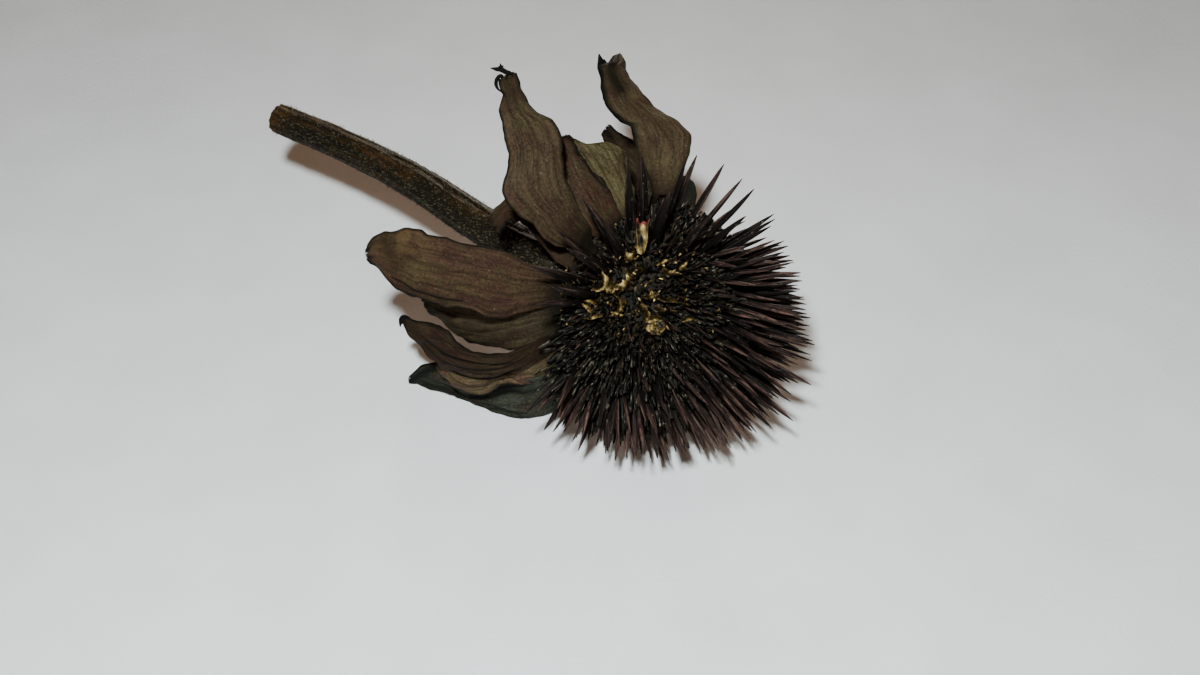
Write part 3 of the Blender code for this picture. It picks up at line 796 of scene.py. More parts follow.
def petal_lift(petal, u, v, half, seed):
    """How far the sheet stands out of its middle surface: its bow, folds, ruffles and turned-down rim."""
    free = petal_free(v)
    bow = petal_bow(petal, v)
    count, height = petal["ripples"]
    size = np.minimum(half / 2.5, 1.0)
    lift = half * (np.cos(bow * u) - 1.0) / bow
    lift = lift + height * size * free * u ** 2 * np.sin(2 * math.pi * count * v + 1.9 * u)
    lift = lift + 0.20 * size * free * np.abs(u) ** 3 * waves(v * 2.6 + 0.4 * u, 5, seed + 2, 0.8)
    lift = lift + 0.12 * size * free * waves(v * 1.5 + 0.7 * u, 4, seed + 3, 0.7)
    lift = lift + 0.07 * size * free * np.cos(math.pi * 2.3 * u + 1.5 * waves(v, 3, seed + 6) + seed)
    lift = lift + 0.008 * free * np.cos(math.pi * 9 * u + 1.2 * waves(v, 3, seed + 4))
    rim = climb(np.abs(u), 0.90, 0.10) * free
    return lift - 0.30 * size * rim ** 2


def petal_free(v):
    """How far a row has left the petal's narrow seat."""
    return climb(v, 0.15, 0.3)


def petal_bow(petal, v):
    """How strongly a row bows across the petal."""
    return 0.05 + (petal["cup"] - 0.05) * petal_free(v)


def petal_reach(petal, shares, seed):
    """Each row's reach to both sides in mm, fitted to the outline where the petal has one."""
    half = smooth_points(PETAL_SEAT_HALF + petal["half"], shares)[:, 0]
    low, high = -half, half
    last = 1.0
    if "outline" not in petal:
        return low, high, last
    middle, across, lift_way = petal_frame(petal, shares)
    limit = OUTLINE_LIMIT * np.maximum(half, 1.6)
    even = np.linspace(0.0, 1.0, len(shares))
    part = climb(shares, 0.22, 0.2)
    starts = [middle, middle]
    for _ in range(OUTLINE_ROUNDS):
        seen_low = outline_reach(starts[0], across, petal["outline"])[0]
        seen_high = outline_reach(starts[1], across, petal["outline"])[1]
        seen = np.isfinite(seen_low) & np.isfinite(seen_high)
        last = shares[seen].max()
        seen_low = np.interp(shares, shares[seen], seen_low[seen])
        seen_high = np.interp(shares, shares[seen], seen_high[seen])
        low = softened(-half + (np.clip(seen_low, -limit, limit) + half) * part, 2)
        high = softened(half + (np.clip(seen_high, -limit, limit) - half) * part, 2)
        v = np.minimum(even / np.interp(last, shares, even), 1.0)
        lifts = [petal_lift(petal, side, v, (high - low) / 2, seed) for side in (-1.0, 1.0)]
        starts = [middle + lift_way * lift[:, None] for lift in lifts]
    return low, high, last


def pixels_to_route(pixels, route):
    """Distance in pixels from each place to the nearest part of a smooth line through pixels."""
    track = smooth_points(route, np.linspace(0.0, 1.0, 6 * len(route)))
    away = np.full(pixels.shape[:-1], np.inf)
    for start, end in zip(track[:-1], track[1:]):
        step = end - start
        share = np.clip((pixels - start) @ step / np.dot(step, step), 0.0, 1.0)
        away = np.minimum(away, np.linalg.norm(pixels - start - share[..., None] * step, axis=-1))
    return away


def petal_sheet(petal, seed):
    """The petal's fine surface: rows of points with folds, ruffles and a turned-down rim, and tones with
    painted shade along its dark lines.
    """
    middle, _ = petal_stations(petal)
    even = np.linspace(0.0, 1.0, CURVE_STEPS)
    fine = even_shares(middle, len(even))
    low, high, last = petal_reach(petal, fine, seed)
    u = np.linspace(-1.0, 1.0, PETAL_COLUMNS + 1)[None, :]
    v = np.linspace(0.0, 1.0, PETAL_ROWS + 1)[:, None]
    ragged = 0.012 * waves(u * 1.7, 5, seed + 5, 0.9)
    along = v * (1.0 - np.abs(ragged)) * np.interp(last, fine, even)
    place, across, lift_way = petal_frame(petal, np.interp(along, even, fine))
    low = np.interp(along, even, low)
    high = np.interp(along, even, high)
    half = (high - low) / 2
    free = petal_free(v)
    bow = petal_bow(petal, v)
    edge = np.where(u < 0, waves(v * 3.1, 7, seed, 0.85), waves(v * 3.1, 7, seed + 1, 0.85))
    reach = (high + low) / 2 + half * np.sin(bow * u) / np.sin(bow) + u ** 5 * 0.06 * free * edge
    lift = petal_lift(petal, u, v, half, seed)
    points = place + across * reach[..., None] + lift_way * lift[..., None]
    # Each dark line dips the sheet a little and paints shade along it: the shade of folds, hollows and
    # overlapping edges, and some dark tips and patches.
    line_dark_and_shade = np.zeros_like(lift)
    pixels = picture_pixels(points)
    for route, width, strength in petal.get("dark_and_shade_lines", []):
        dip = strength * np.exp(-(pixels_to_route(pixels, route) / width) ** 2) * free
        points = points - lift_way * (LINE_DEPTH * dip)[..., None]
        line_dark_and_shade = np.maximum(line_dark_and_shade, dip)
    points[..., 2] = np.maximum(points[..., 2], PETAL_SKIN / 2 + FLOOR_GAP)
    low_rim, high_rim = petal.get("rims", (0.35, 0.35))
    rim_width = np.where(u < 0, low_rim, high_rim)
    edge_dark = np.clip((np.abs(u) - 1.0) * half / rim_width + 1.0, 0.0, 1.0) ** 0.5 * free
    base_dark = np.clip(1.0 - (v - 0.13) / 0.13, 0.0, 1.0)
    tip_dark = climb(v + 0.02 * np.sin(9 * u + seed), 0.95, 0.05)
    # The dark tone: margins, base, tip, and the painted shade of the dark lines.
    dark = np.maximum(np.maximum(edge_dark, base_dark * 0.8), np.maximum(tip_dark * 0.9, line_dark_and_shade))
    gold = petal.get("gold", 0.0) * climb(v, 0.62, 0.2) * np.clip(0.6 + 0.8 * u, 0.0, 1.0)
    tones = np.stack(np.broadcast_arrays(dark, gold, petal.get("gain", 1.0)), axis=-1)
    uvs = np.stack(np.broadcast_arrays((u + 1) / 2 + seed * 1.7, v), axis=-1)
    return points, uvs, tones


def tapered_tube(line, half, columns=8):
    """Rows of points of a tube along a line that thins out towards both ends."""
    ahead = unit(np.gradient(line, axis=0))
    first = unit(np.cross(ahead, camera_axes()[0]))
    share = np.linspace(0.0, 1.0, len(line))
    size = half * np.clip(np.minimum(4 * share + 0.5, 2.5 * (1.0 - share) + 0.12), 0.0, 1.0)
    rays = ring_rays(full_turn(columns), first, np.cross(ahead, first))
    return line[:, None, :] + rays * size[:, None, None]


def add_threads(name, petal, tip, material):
    """The withered threads at a petal's tip, at the tip's own distance from the lens."""
    back = camera_axes()[0]
    eye = camera_eye()
    depth = (eye - tip) @ back
    tubes = []
    for pixels, half in petal["threads"]:
        track = smooth_points(pixels, np.linspace(0.0, 1.0, 8 * len(pixels)))
        rays = np.array([picture_ray(pixel) for pixel in track])
        tubes.append(tapered_tube(eye + rays * (depth / -(rays @ back))[:, None], half))
    points, faces = joined(tubes, wrap=True)
    tones = np.ones(points.shape) * (1.0, 0.0, 0.8)
    uvs = np.zeros((len(points), 2))
    threads = add_mesh(name + "_threads", points, faces, material, uvs, tones)
    take_place(threads, name)


def add_petals():
    """Each petal's fine sheet with a thin skin, in place of its solid."""
    looks = {look: petal_material(look) for look in PETAL_LOOKS}
    for number, (name, petal) in enumerate(PETALS.items()):
        points, uvs, tones = petal_sheet(petal, 10 * number + 3)
        rows, columns = points.shape[:2]
        sheet = add_mesh(name + "_skin", points, grid_faces(rows, columns), looks[petal["look"]], uvs, tones)
        add_skin(sheet, PETAL_SKIN)
        take_place(sheet, name)
        if "threads" in petal:
            add_threads(name, petal, points[-2, columns // 2], looks[petal["look"]])


# Seed head

def on_egg(angle, spin, radius, length):
    """Places on an egg round the head's centre, by the angle from its tip and the spin round it."""
    x = length * np.cos(angle)
    ring = radius * np.sin(angle)
    return HEAD + np.stack([x, ring * np.cos(spin), ring * np.sin(spin)], axis=-1)


def spiral(count, last_angle):
    """Angles and spins of an even spiral over the dome."""
    number = np.arange(count)
    cosine = 1.0 - (1.0 - math.cos(last_angle)) * (number + 0.5) / count
    return np.arccos(cosine), number * GOLDEN_TURN


def direction_at(angle, turn):
    """The direction at an angle from the dome's tip and a turn round it, both in degrees."""
    angle = math.radians(angle)
    turn = math.radians(turn)
    return np.array([math.cos(angle), -math.sin(angle) * math.cos(turn), math.sin(angle) * math.sin(turn)])


def degrees_from_worn(places):
    """Angle in degrees at the head's centre between each place and the middle of the worn side."""
    cosine = unit(places - HEAD) @ direction_at(WORN_ANGLE, WORN_TURN)
    return np.degrees(np.arccos(np.clip(cosine, -1.0, 1.0)))


def turns_round(places):
    """Turns in degrees round the head's axis."""
    return np.degrees(np.arctan2(places[:, 2] - HEAD[2], HEAD[1] - places[:, 1]))


def tube_faces(count, rows, columns):
    """Faces of many alike open tubes, each stored row by row."""
    one = grid_faces(rows, columns, wrap=True)
    starts = np.arange(count)[:, None, None] * rows * columns
    return (one[None] + starts).reshape(-1, 4)


def end_caps(count, rows, columns):
    """The last ring of each tube as one face."""
    last_rings = np.arange(count)[:, None] * rows * columns + (rows - 1) * columns
    return last_rings + np.arange(columns)


def side_directions(ahead, random):
    """Two directions square to each way ahead, at a random roll."""
    helper = unit(random.normal(size=ahead.shape))
    first = unit(np.cross(ahead, helper))
    return first, np.cross(ahead, first)


def lance_bodies(roots, tips, half, flatness, bend, profile, columns, random):
    """Points of many lances from root to tip, rows by columns, bent sideways by up to bend."""
    profile = np.atleast_2d(profile)
    share = np.linspace(0.0, 1.0, profile.shape[1])
    wide, thin = side_directions(unit(tips - roots), random)
    arch = np.sin(math.pi * share)[None, :, None] * (wide * bend[:, None])[:, None, :]
    middle = roots[:, None, :] + (tips - roots)[:, None, :] * share[None, :, None] + arch
    angle = full_turn(columns)
    size = (half[:, None] * profile)[:, :, None, None]
    across = wide[:, None, None, :] * (np.cos(angle)[None, None, :, None] * size)
    through = thin[:, None, None, :] * (np.sin(angle)[None, None, :, None] * size * flatness)
    return middle[:, :, None, :] + across + through, share


def piece_tones(shape, *parts):
    """Tones of many pieces, from parts that fit the pieces, their rows and their columns."""
    return np.stack([np.broadcast_to(part, shape) for part in parts], axis=-1)


def piece_uvs(shape, shift, rows):
    """UV places of many pieces: round each, shifted from piece to piece, and along it."""
    column = np.linspace(0, 1, shape[2]) + np.arange(shape[0])[:, None, None] * shift
    return np.stack(np.broadcast_arrays(column, rows), axis=-1)


def spine_material():
    """Black root and blade, maroon towards the point on some, with fine grooves along it, a painted highlight
    along the blade's edges and in fine streaks, and pale specks painted as glints.
    """
    skin = Skin("spine", 0.50, 0.06)
    tones = skin.tones()
    along = tones["Red"]
    redness = tones["Green"]
    maroon = skin.ramp(along, [
        (0.42, (0.0016, 0.0013, 0.0010)),
        (0.64, (0.0052, 0.0030, 0.0024)),
        (0.82, (0.0195, 0.0092, 0.0074)),
        (0.92, (0.0145, 0.0074, 0.0060)),
        (0.98, (0.0040, 0.0026, 0.0022)),
    ])
    skin.color = skin.ramp(along, [(0.3, (0.0014, 0.0013, 0.0010)), (0.9, (0.0040, 0.0028, 0.0024))])
    skin.lay(maroon, skin.span(redness, 0.30, 1.05))
    mottle = skin.noise(900.0, 3.0, 0.6)
    some = skin.span(redness, 0.1, 0.5)
    skin.lay((0.016, 0.010, 0.008), skin.span(mottle, 0.56, 0.72), 0.25, some)
    # Painted highlight along the blade's flat edges, on the redder spines.
    edge = skin.times(skin.span(tones["Blue"], 0.3, 1.0), skin.span(along, 0.50, 0.80))
    skin.lay((0.108, 0.058, 0.047), edge, skin.span(redness, 0.15, 0.8), skin.span(mottle, 0.40, 0.56), 0.80)
    # Painted highlight in fine light streaks along the blade.
    line = skin.span(skin.streaks(11.0, 1.2, 3.0, 0.6), 0.55, 0.63)
    skin.lay((0.110, 0.064, 0.052), line, along, some, 0.80)
    # Pale specks: painted glints.
    skin.lay((0.190, 0.165, 0.125), skin.span(skin.noise(3600.0, 2.0, 0.5), 0.685, 0.73), 0.45)
    grooves = skin.streaks(9.0, 1.2, 3.0, 0.6)
    return skin.finished(skin.plus(grooves, skin.times(mottle, 0.5)), 0.6, 0.00018)


def ends_by_pixel(pixels, reach):
    """Roots on the dome and tips of the spines whose tips the picture shows."""
    tips = np.array([spot_on_head(pixel, reach)[0] for pixel in pixels])
    roots = HEAD + unit(tips - HEAD) * (DOME_RADIUS - SPINE_SINK)
    return roots, tips


def spiral_spines(random):
    """Roots and tips of the spines all over the dome, worn down where the head faces up."""
    angle, spin = spiral(SPINE_COUNT, math.radians(SPINE_LAST_ANGLE))
    angle = angle + random.normal(0.0, 0.035, SPINE_COUNT)
    spin = spin + random.normal(0.0, 0.04, SPINE_COUNT)
    feet = on_egg(angle, spin, DOME_RADIUS, DOME_LENGTH)
    lean = angle * SPINE_SPREAD + random.normal(0.0, 0.045, SPINE_COUNT)
    sway = spin + random.normal(0.0, 0.045, SPINE_COUNT)
    tips = on_egg(lean, sway, SPINE_TIP_RADIUS, SPINE_TIP_LENGTH) + SPINE_TIP_SHIFT
    away = degrees_from_worn(feet)
    rim = np.interp(np.degrees(angle), RIM_ANGLES, [0.0, 1.0])
    whole = np.maximum(np.interp(away, WORN_DEGREES, WORN_REACH), rim)
    turn = turns_round(feet)
    sparse = (turn > SPARSE_TURNS[0]) & (turn < SPARSE_TURNS[1]) & (np.degrees(angle) > SPARSE_ANGLE)
    whole = np.where(sparse, SPARSE_STUB, whole)
    reach = random.uniform(0.80, 0.98, SPINE_COUNT) * whole
    tips = feet + (tips - feet) * reach[:, None]
    keep = random.random(SPINE_COUNT) < np.where(away < WORN_DEGREES[1], 0.35, 1.0)
    roots = feet - unit(tips - feet) * SPINE_ROOT
    too_low = tips[:, 2] < SPINE_LOWEST
    drop = (roots[:, 2] - SPINE_LOWEST) / np.maximum(roots[:, 2] - tips[:, 2], 1e-6)
    tips = np.where(too_low[:, None], roots + (tips - roots) * drop[:, None], tips)
    return roots[keep], tips[keep]


def add_spines():
    """The lance-shaped scales that stand out of the head, slender ones and broad lone ones."""
    random = np.random.default_rng(SPINE_SEED)
    groups = [spiral_spines(random)]
    for pixels, reach in ((RIM_TIPS, RIM_REACH), (SHORT_TIPS, SHORT_REACH), (LONE_TIPS, LONE_REACH)):
        groups.append(ends_by_pixel(pixels, reach))
    roots, tips = (np.concatenate(ends) for ends in zip(*groups))
    count = len(roots)
    lone = np.arange(count) >= count - len(LONE_TIPS)
    black = np.arange(count) >= count - len(LONE_TIPS) - len(SHORT_TIPS)
    long_ = np.clip(np.linalg.norm(tips - roots, axis=1) / 10.0, 0.5, 1.0)
    half = np.where(lone, LONE_HALF, random.uniform(*SPINE_HALF, count) * long_)
    profile = np.where(lone[:, None], LONE_PROFILE, SPINE_PROFILE)
    bend = random.normal(0.0, 0.15, count) * np.where(lone, 2.2, 1.0)
    points, share = lance_bodies(roots, tips, half, 0.78, bend, profile, 8, random)
    shape = points.shape[:3]
    redness = random.random(count) * 0.9 + 0.45 * np.exp(-((turns_round(tips) + 60) / 40) ** 2)
    redness = np.where(black, BLACK_REDNESS, redness)
    # The blade's flat edges, where the spine skin paints its highlight.
    edge = np.abs(np.cos(full_turn(shape[2]))) ** 3
    tones = piece_tones(shape, share[:, None], redness[:, None, None], edge)
    uvs = piece_uvs(shape, 0.37, share[None, :, None])
    spines = add_mesh("spines", points, tube_faces(*shape), spine_material(), uvs, tones)
    take_place(spines, "seed_head")


def floret_material():
    """Dry florets: near black, some grey-brown or ochre, with small pale flecks, partly pale bits of the
    florets and partly painted glints.
    """
    skin = Skin("floret", 0.50, 0.07)
    tones = skin.tones()
    skin.color = skin.ramp(tones["Green"], [
        (0.00, (0.0014, 0.0013, 0.0011)),
        (0.60, (0.0030, 0.0028, 0.0022)),
        (0.85, (0.0080, 0.0074, 0.0052)),
        (1.00, (0.0240, 0.0190, 0.0100)),
    ])
    # Pale flecks near each floret's open end, fewer near the worn side: partly pale bits, partly painted
    # glints.
    rim = skin.ramp(tones["Red"], [(0.40, (0.15,) * 3), (0.82, (1.0,) * 3), (0.92, (0.1,) * 3)])
    fleck_and_glint = skin.span(skin.streaks(5.0, 1.1, 3.0, 0.65), 0.575, 0.615)
    skin.lay((0.150, 0.124, 0.084), fleck_and_glint, rim, skin.span(tones["Blue"], 1.2, 0.3), 0.85)
    ochre = skin.span(skin.noise(520.0, 3.0, 0.6), 0.50, 0.68)
    skin.lay((0.060, 0.036, 0.010), ochre, tones["Blue"], 0.32)
    return skin.finished(skin.noise(1500.0, 4.0, 0.65), 0.7, 0.0002)


def add_florets():
    """The withered florets that fill the head between the spines, as ragged little tubes."""
    random = np.random.default_rng(FLORET_SEED)
    angle, spin = spiral(FLORET_COUNT, math.radians(FLORET_LAST_ANGLE))
    angle = angle + random.normal(0.0, 0.02, FLORET_COUNT)
    spin = spin + 0.9 + random.normal(0.0, 0.02, FLORET_COUNT)
    feet = on_egg(angle, spin, DOME_RADIUS - FLORET_ROOT, DOME_LENGTH - FLORET_ROOT)
    away = degrees_from_worn(feet)
    rise = (feet[:, 2] - HEAD[2]) / DOME_RADIUS
    longest = np.interp(rise, [-0.75, -0.3, 0.05, 0.8], [9.4, 8.2, 6.2, 3.4])
    longest = longest * np.interp(away, [10, 30, 50, 66], [0.26, 0.52, 0.82, 1.0])
    shortest = np.interp(rise, [-0.6, 0.0], [0.62, 0.50])
    reach = longest * (shortest + (1.0 - shortest) * random.random(FLORET_COUNT))
    radial = unit(feet - HEAD)
    patch = direction_at(WORN_ANGLE, WORN_TURN)
    tangent = unit((radial @ patch)[:, None] * radial - patch)
    lean = 0.30 * climb(away, 12.0, 30.0)
    direction = unit(radial + lean[:, None] * tangent + random.normal(0.0, 0.13, feet.shape))
    tips = feet + direction * (reach + FLORET_ROOT)[:, None]
    half = random.uniform(*FLORET_HALF, FLORET_COUNT)
    bend = random.normal(0.0, 0.18, FLORET_COUNT)
    points, share = lance_bodies(feet, tips, half, 0.75, bend, FLORET_PROFILE, 5, random)
    shape = points.shape[:3]
    ragged = random.uniform(-0.28, 0.28, shape)
    ragged[:, :-2, :] *= 0.1
    ragged[:, -1, :] -= 0.95 * np.minimum(reach / 2.4, 1.4)[:, None]
    points = points + direction[:, None, None, :] * ragged[..., None]
    points = points + random.normal(0.0, 0.04, points.shape)
    points[..., 2] = np.maximum(points[..., 2], FLORET_LOWEST)
    near_patch = np.interp(away, [14, 34], [1.0, 0.12])
    paleness = random.random(FLORET_COUNT) ** 1.3 * (1.0 - 0.6 * near_patch)
    tones = piece_tones(shape, share[:, None], paleness[:, None, None], near_patch[:, None, None])
    uvs = piece_uvs(shape, 0.73, share[None, :, None] * reach[:, None, None])
    faces = tube_faces(*shape).tolist() + end_caps(*shape).tolist()
    take_place(add_mesh("florets", points, faces, floret_material(), uvs, tones), "seed_head")


def core_material():
    """The head's own crust between the florets: black-brown with straw flecks."""
    skin = Skin("head_core", 0.7, 0.1)
    lumps = skin.noise(700.0, 4.0, 0.6)
    skin.color = skin.ramp(lumps, [(0.35, (0.002, 0.002, 0.001)), (0.7, (0.012, 0.009, 0.005))])
    skin.lay((0.10, 0.07, 0.03), skin.span(skin.noise(1300.0, 3.0, 0.6), 0.60, 0.70), 0.6)
    return skin.finished(lumps, 0.9, 0.0006)


def add_core():
    """The dome that carries the florets, lumpy, and closed by a flat back."""
    rows, columns = 70, 140
    angle = np.linspace(0.0, math.acos(-DOME_BACK / DOME_LENGTH), rows)[:, None]
    spin = full_turn(columns)[None, :]
    wave = np.sin(23 * angle + 2 * np.sin(11 * spin)) * np.sin(19 * spin + 3 * np.sin(9 * angle))
    wave = wave + 0.6 * np.sin(41 * angle + 5 * spin) * np.sin(37 * spin - 7 * angle)
    size = 1.0 - 0.035 + 0.022 * wave * np.sin(angle)
    points = on_egg(angle + 0 * spin, spin + 0 * angle, DOME_RADIUS, DOME_LENGTH)
    points = HEAD + (points - HEAD) * size[..., None]
    faces = grid_faces(rows, columns, wrap=True).tolist() + end_caps(1, rows, columns).tolist()
    take_place(add_mesh("head_core", points, faces, core_material()), "seed_head")


def picture_ray(pixel):
    """The direction from the camera's eye through a pixel of the reference picture."""
    back, right, up = camera_axes()
    scale = SENSOR_WIDTH / (CAMERA_LENS * FRAME_WIDTH)
    sideways = (pixel[0] - FRAME_WIDTH / 2) * scale
    upwards = (FRAME_HEIGHT / 2 - pixel[1]) * scale
    return unit(-back + right * sideways + up * upwards)


def spot_on_head(pixel, radius):
    """Where a pixel's ray meets a ball round the head, and the way outward there."""
    eye = camera_eye()
    ray = picture_ray(pixel)
    closest = eye + ray * np.dot(HEAD - eye, ray)
    depth = math.sqrt(max(radius ** 2 - np.sum((closest - HEAD) ** 2), 0.0))
    spot = closest - ray * depth
    return spot, unit(spot - HEAD)


def chaff_material():
    """Straw gold to dark amber by a paleness tone, which carries painted highlights and painted shade on the
    crests, the button and the cup, and a dull red rim on one scale.
    """
    skin = Skin("chaff", 0.45, 0.15)
    tones = skin.tones()
    light = skin.plus(skin.times(skin.noise(900.0, 3.0, 0.6), 0.9), skin.times(tones["Red"], 0.45))
    skin.color = skin.ramp(light, [
        (0.44, (0.0035, 0.0024, 0.0010)),
        (0.58, (0.0360, 0.0220, 0.0060)),
        (0.74, (0.1500, 0.1000, 0.0300)),
        (0.94, (0.4600, 0.3400, 0.1400)),
    ])
    skin.lay((0.075, 0.012, 0.008), tones["Green"])
    return skin.finished(skin.noise(2500.0, 3.0, 0.6), 0.5, 0.00012)


def ridge_strip(ridge, random):
    """A thin crest that winds over the worn head, as rows across it, with its tones: a painted highlight
    along its top and painted shade at its feet.
    """
    pixels, width, height, paleness = ridge
    shares = np.linspace(0.0, 1.0, 12 * len(pixels))
    track = smooth_points(pixels, shares)
    spots, outwards = zip(*(spot_on_head(pixel, CHAFF_BALL) for pixel in track))
    spots, outwards = np.array(spots), np.array(outwards)
    across = np.cross(outwards, unit(np.gradient(spots, axis=0)))
    taper = np.sin(math.pi * np.clip(0.08 + 0.84 * shares, 0, 1)) ** 0.6
    taper = taper * (1.15 + 0.28 * np.sin(11 * shares + random.uniform(0, 6)))
    lean = random.uniform(-0.35, 0.35)
    rows = [
        spots + across * ((side * width + lean * rise * height) * taper)[:, None]
        + outwards * (rise * height * np.where(rise > 0, taper, 1.0))[:, None]
        for side, rise in CREST_PROFILE
    ]
    rows = [row + random.normal(0.0, 0.055, row.shape) for row in rows]
    tones = np.zeros((len(shares), len(CREST_PROFILE), 2))
    patchy = 0.75 + 0.25 * np.sin(17 * shares + random.uniform(0, 6))
    # Paleness across the crest: painted highlight along the top, painted shade at the feet.
    tones[..., 0] = paleness * patchy[:, None] * CREST_PAINTED_LIGHT
    return np.stack(rows, axis=1), tones


def add_chaff():
    """Straw-coloured crests where the florets have gone, a cupped scale, a stub and loose bits."""
    random = np.random.default_rng(CHAFF_SEED)
    material = chaff_material()
    strips, tones = zip(*(ridge_strip(ridge, random) for ridge in RIDGES))
    points, faces = joined(strips)
    tones = np.concatenate([tone.reshape(-1, 2) for tone in tones])
    take_place(add_mesh("chaff_crests", points, faces, material, tones=tones), "seed_head")
    add_cupped_scale(material)
    add_button(material)
    add_flecks(material)


def add_cupped_scale(material):
    """The tall hollow scale near the upper rim, open towards the front, with painted shade towards its sides
    and a ragged red top.
    """
    ends = [spot_on_head(pixel, CHAFF_BALL + above) for pixel, above in zip(CUP_PIXELS, CUP_ABOVE)]
    (foot, foot_out), (top, top_out) = ends
    up = top - foot
    out = unit(foot_out + top_out)
    right = unit(np.cross(up, out))
    rows, columns = 16, 13
    rise, across = np.meshgrid(np.linspace(0.0, 1.0, rows), np.linspace(-1.0, 1.0, columns), indexing="ij")
    angle = across * 1.35
    half = 0.44 + 0.36 * rise ** 0.7 + 0.07 * np.sin(9 * rise + 5 * across)
    ragged = 0.05 * np.sin(7 * across + 1) * rise
    middle = foot - out * 1.0 + (rise + ragged)[..., None] * up
    sideways = (half * np.sin(angle))[..., None] * right
    points = middle + sideways + (0.7 - half * np.cos(angle))[..., None] * out
    # Paler up the middle and darker towards both sides, as painted shade round the cup's curve, with a wavy
    # band.
    pale = 0.48 - 0.3 * np.abs(across) - 0.34 * np.sin(5 * rise + 3 * across)
    tones = np.stack([pale, climb(rise, 0.88, 0.04)], axis=-1)
    cup = add_mesh("chaff_cup", points, grid_faces(rows, columns), material, tones=tones)
    add_skin(cup, CUP_SKIN)
    take_place(cup, "seed_head")


def add_button(material):
    """The stub of a broken floret: a small pale disc with a raised rim and a hollow middle."""
    middle, out = spot_on_head(BUTTON_PIXEL, CHAFF_BALL + BUTTON_ABOVE)
    first = unit(np.cross(out, UP))
    second = np.cross(out, first)
    columns = 36
    round_ = full_turn(columns)[None, :]
    share, height, pale = (part[:, None] for part in np.array(BUTTON_RINGS).T)
    ragged = 1.0 + 0.07 * np.sin(2 * round_ + 2) + 0.06 * np.sin(7 * round_) + 0.05 * np.sin(13 * round_ + 1)
    size = BUTTON_RADIUS * share * ragged
    rise = height + 0.10 * np.sin(9 * round_ + 4 * share) + 0.10 * np.sin(4 * round_ + 1)
    points = middle + (size * np.cos(round_))[..., None] * first + (size * np.sin(round_))[..., None] * second
    points = points + rise[..., None] * out
    tones = np.zeros((*size.shape, 2))
    # Paleness by ring: painted shade in the sunken rings, painted highlight on the raised ones.
    tones[..., 0] = pale * (0.78 + 0.22 * np.sin(3 * round_ + 1) + 0.15 * np.sin(8 * round_))
    faces = grid_faces(len(BUTTON_RINGS), columns, wrap=True)
    take_place(add_mesh("chaff_button", points, faces, material, tones=tones), "seed_head")


def add_flecks(material):
    """Small loose bits of chaff among the florets."""
    random = np.random.default_rng(FLECK_SEED)
    shifts = np.stack([random.normal(-6, 44, FLECK_COUNT), random.normal(-16, 26, FLECK_COUNT)], axis=-1)
    reach = np.linalg.norm(shifts, axis=1, keepdims=True)
    pixels = np.array(HEAD_PIXEL) + shifts * np.minimum(1.0, FLECK_REACH / reach)
    share = np.linspace(-1.0, 1.0, 5)
    strips = []
    for pixel in pixels:
        spot, outward = spot_on_head(pixel, CHAFF_BALL + random.uniform(*FLECK_ABOVE))
        side = unit(np.cross(outward, random.normal(size=3)))
        ahead = np.cross(side, outward)
        length = random.uniform(*FLECK_LENGTH)
        half = random.uniform(*FLECK_HALF)
        line = spot + ahead * (share * length / 2)[:, None] + outward * (0.25 * (1 - share ** 2))[:, None]
        width = side * (half * (1.05 - share ** 2))[:, None]
        strips.append(np.stack([line - width, line + width], axis=1))
    points, faces = joined(strips)
    tones = np.zeros((len(points), 2))
    tones[:, 0] = np.repeat(random.random(FLECK_COUNT) ** 3.0, 2 * len(share))
    flecks = add_mesh("chaff_flecks", points, faces, material, tones=tones)
    add_skin(flecks, FLECK_SKIN, -1.0)
    take_place(flecks, "seed_head")


# Stalk, receptacle and bracts

def stalk_material():
    """Dark ribbed bark: green-black and orange-brown streaks with pale grey specks."""
    skin = Skin("stalk", 0.60, 0.08)
    tones = skin.tones()
    streaks = skin.streaks(17.0, 5.0, 4.0, 0.62, 0.3)
    fine = skin.streaks(52.0, 22.0, 4.0, 0.65, 0.2)
    skin.color = skin.ramp(skin.plus(streaks, skin.times(tones["Blue"], 0.22)), [
        (0.44, (0.0011, 0.0008, 0.0003)),
        (0.56, (0.0039, 0.0024, 0.0006)),
        (0.66, (0.0190, 0.0076, 0.0013)),
        (0.80, (0.0420, 0.0168, 0.0030)),
    ])
    skin.lay((0.0040, 0.0032, 0.0012), skin.span(fine, 0.60, 0.42))
    specks = skin.noise(3300.0, 2.0, 0.5, stretch=(0.8, 1.0, 1.0))
    limit = skin.plus(specks, skin.times(skin.span(tones["Red"], 0.45, 0.08), 0.035))
    pale = skin.times(skin.span(limit, 0.61, 0.67), 0.75)
    skin.lay((0.066, 0.053, 0.028), pale)
    skin.lay((0.15, 0.048, 0.010), tones["Green"])
    return skin.finished(skin.plus(streaks, skin.times(fine, 0.6), skin.times(pale, 0.25)), 0.9, 0.0004)


def stalk_frame(shares):
    """Places along the stalk with two directions across it and its half width."""
    route = np.array(STALK_ROUTE)
    step = 0.01
    after = smooth_points(route, np.minimum(shares + step, 1))
    ahead = unit(after - smooth_points(route, np.maximum(shares - step, 0)))
    first = unit(np.cross(ahead, UP))
    half = smooth_points(STALK_HALF, shares)[:, 0]
    return HEAD + smooth_points(route, shares), ahead, first, np.cross(ahead, first), half


def stalk_ribs(along, round_):
    """Relative swelling of the stalk's skin: ribs, wrinkles and small lumps."""
    ribs = 0.040 * np.cos(11 * round_ + 1.2 * np.sin(5 * along))
    ribs = ribs + 0.022 * np.cos(23 * round_ + 3.0 * np.sin(9 * along))
    lumps = 0.020 * np.sin(47 * along + 3 * np.sin(3 * round_)) * np.sin(5 * round_ + 8 * along)
    fine = 0.012 * np.sin(210 * along + 5 * np.sin(7 * round_)) * np.sin(17 * round_ + 30 * along)
    return ribs + lumps + fine


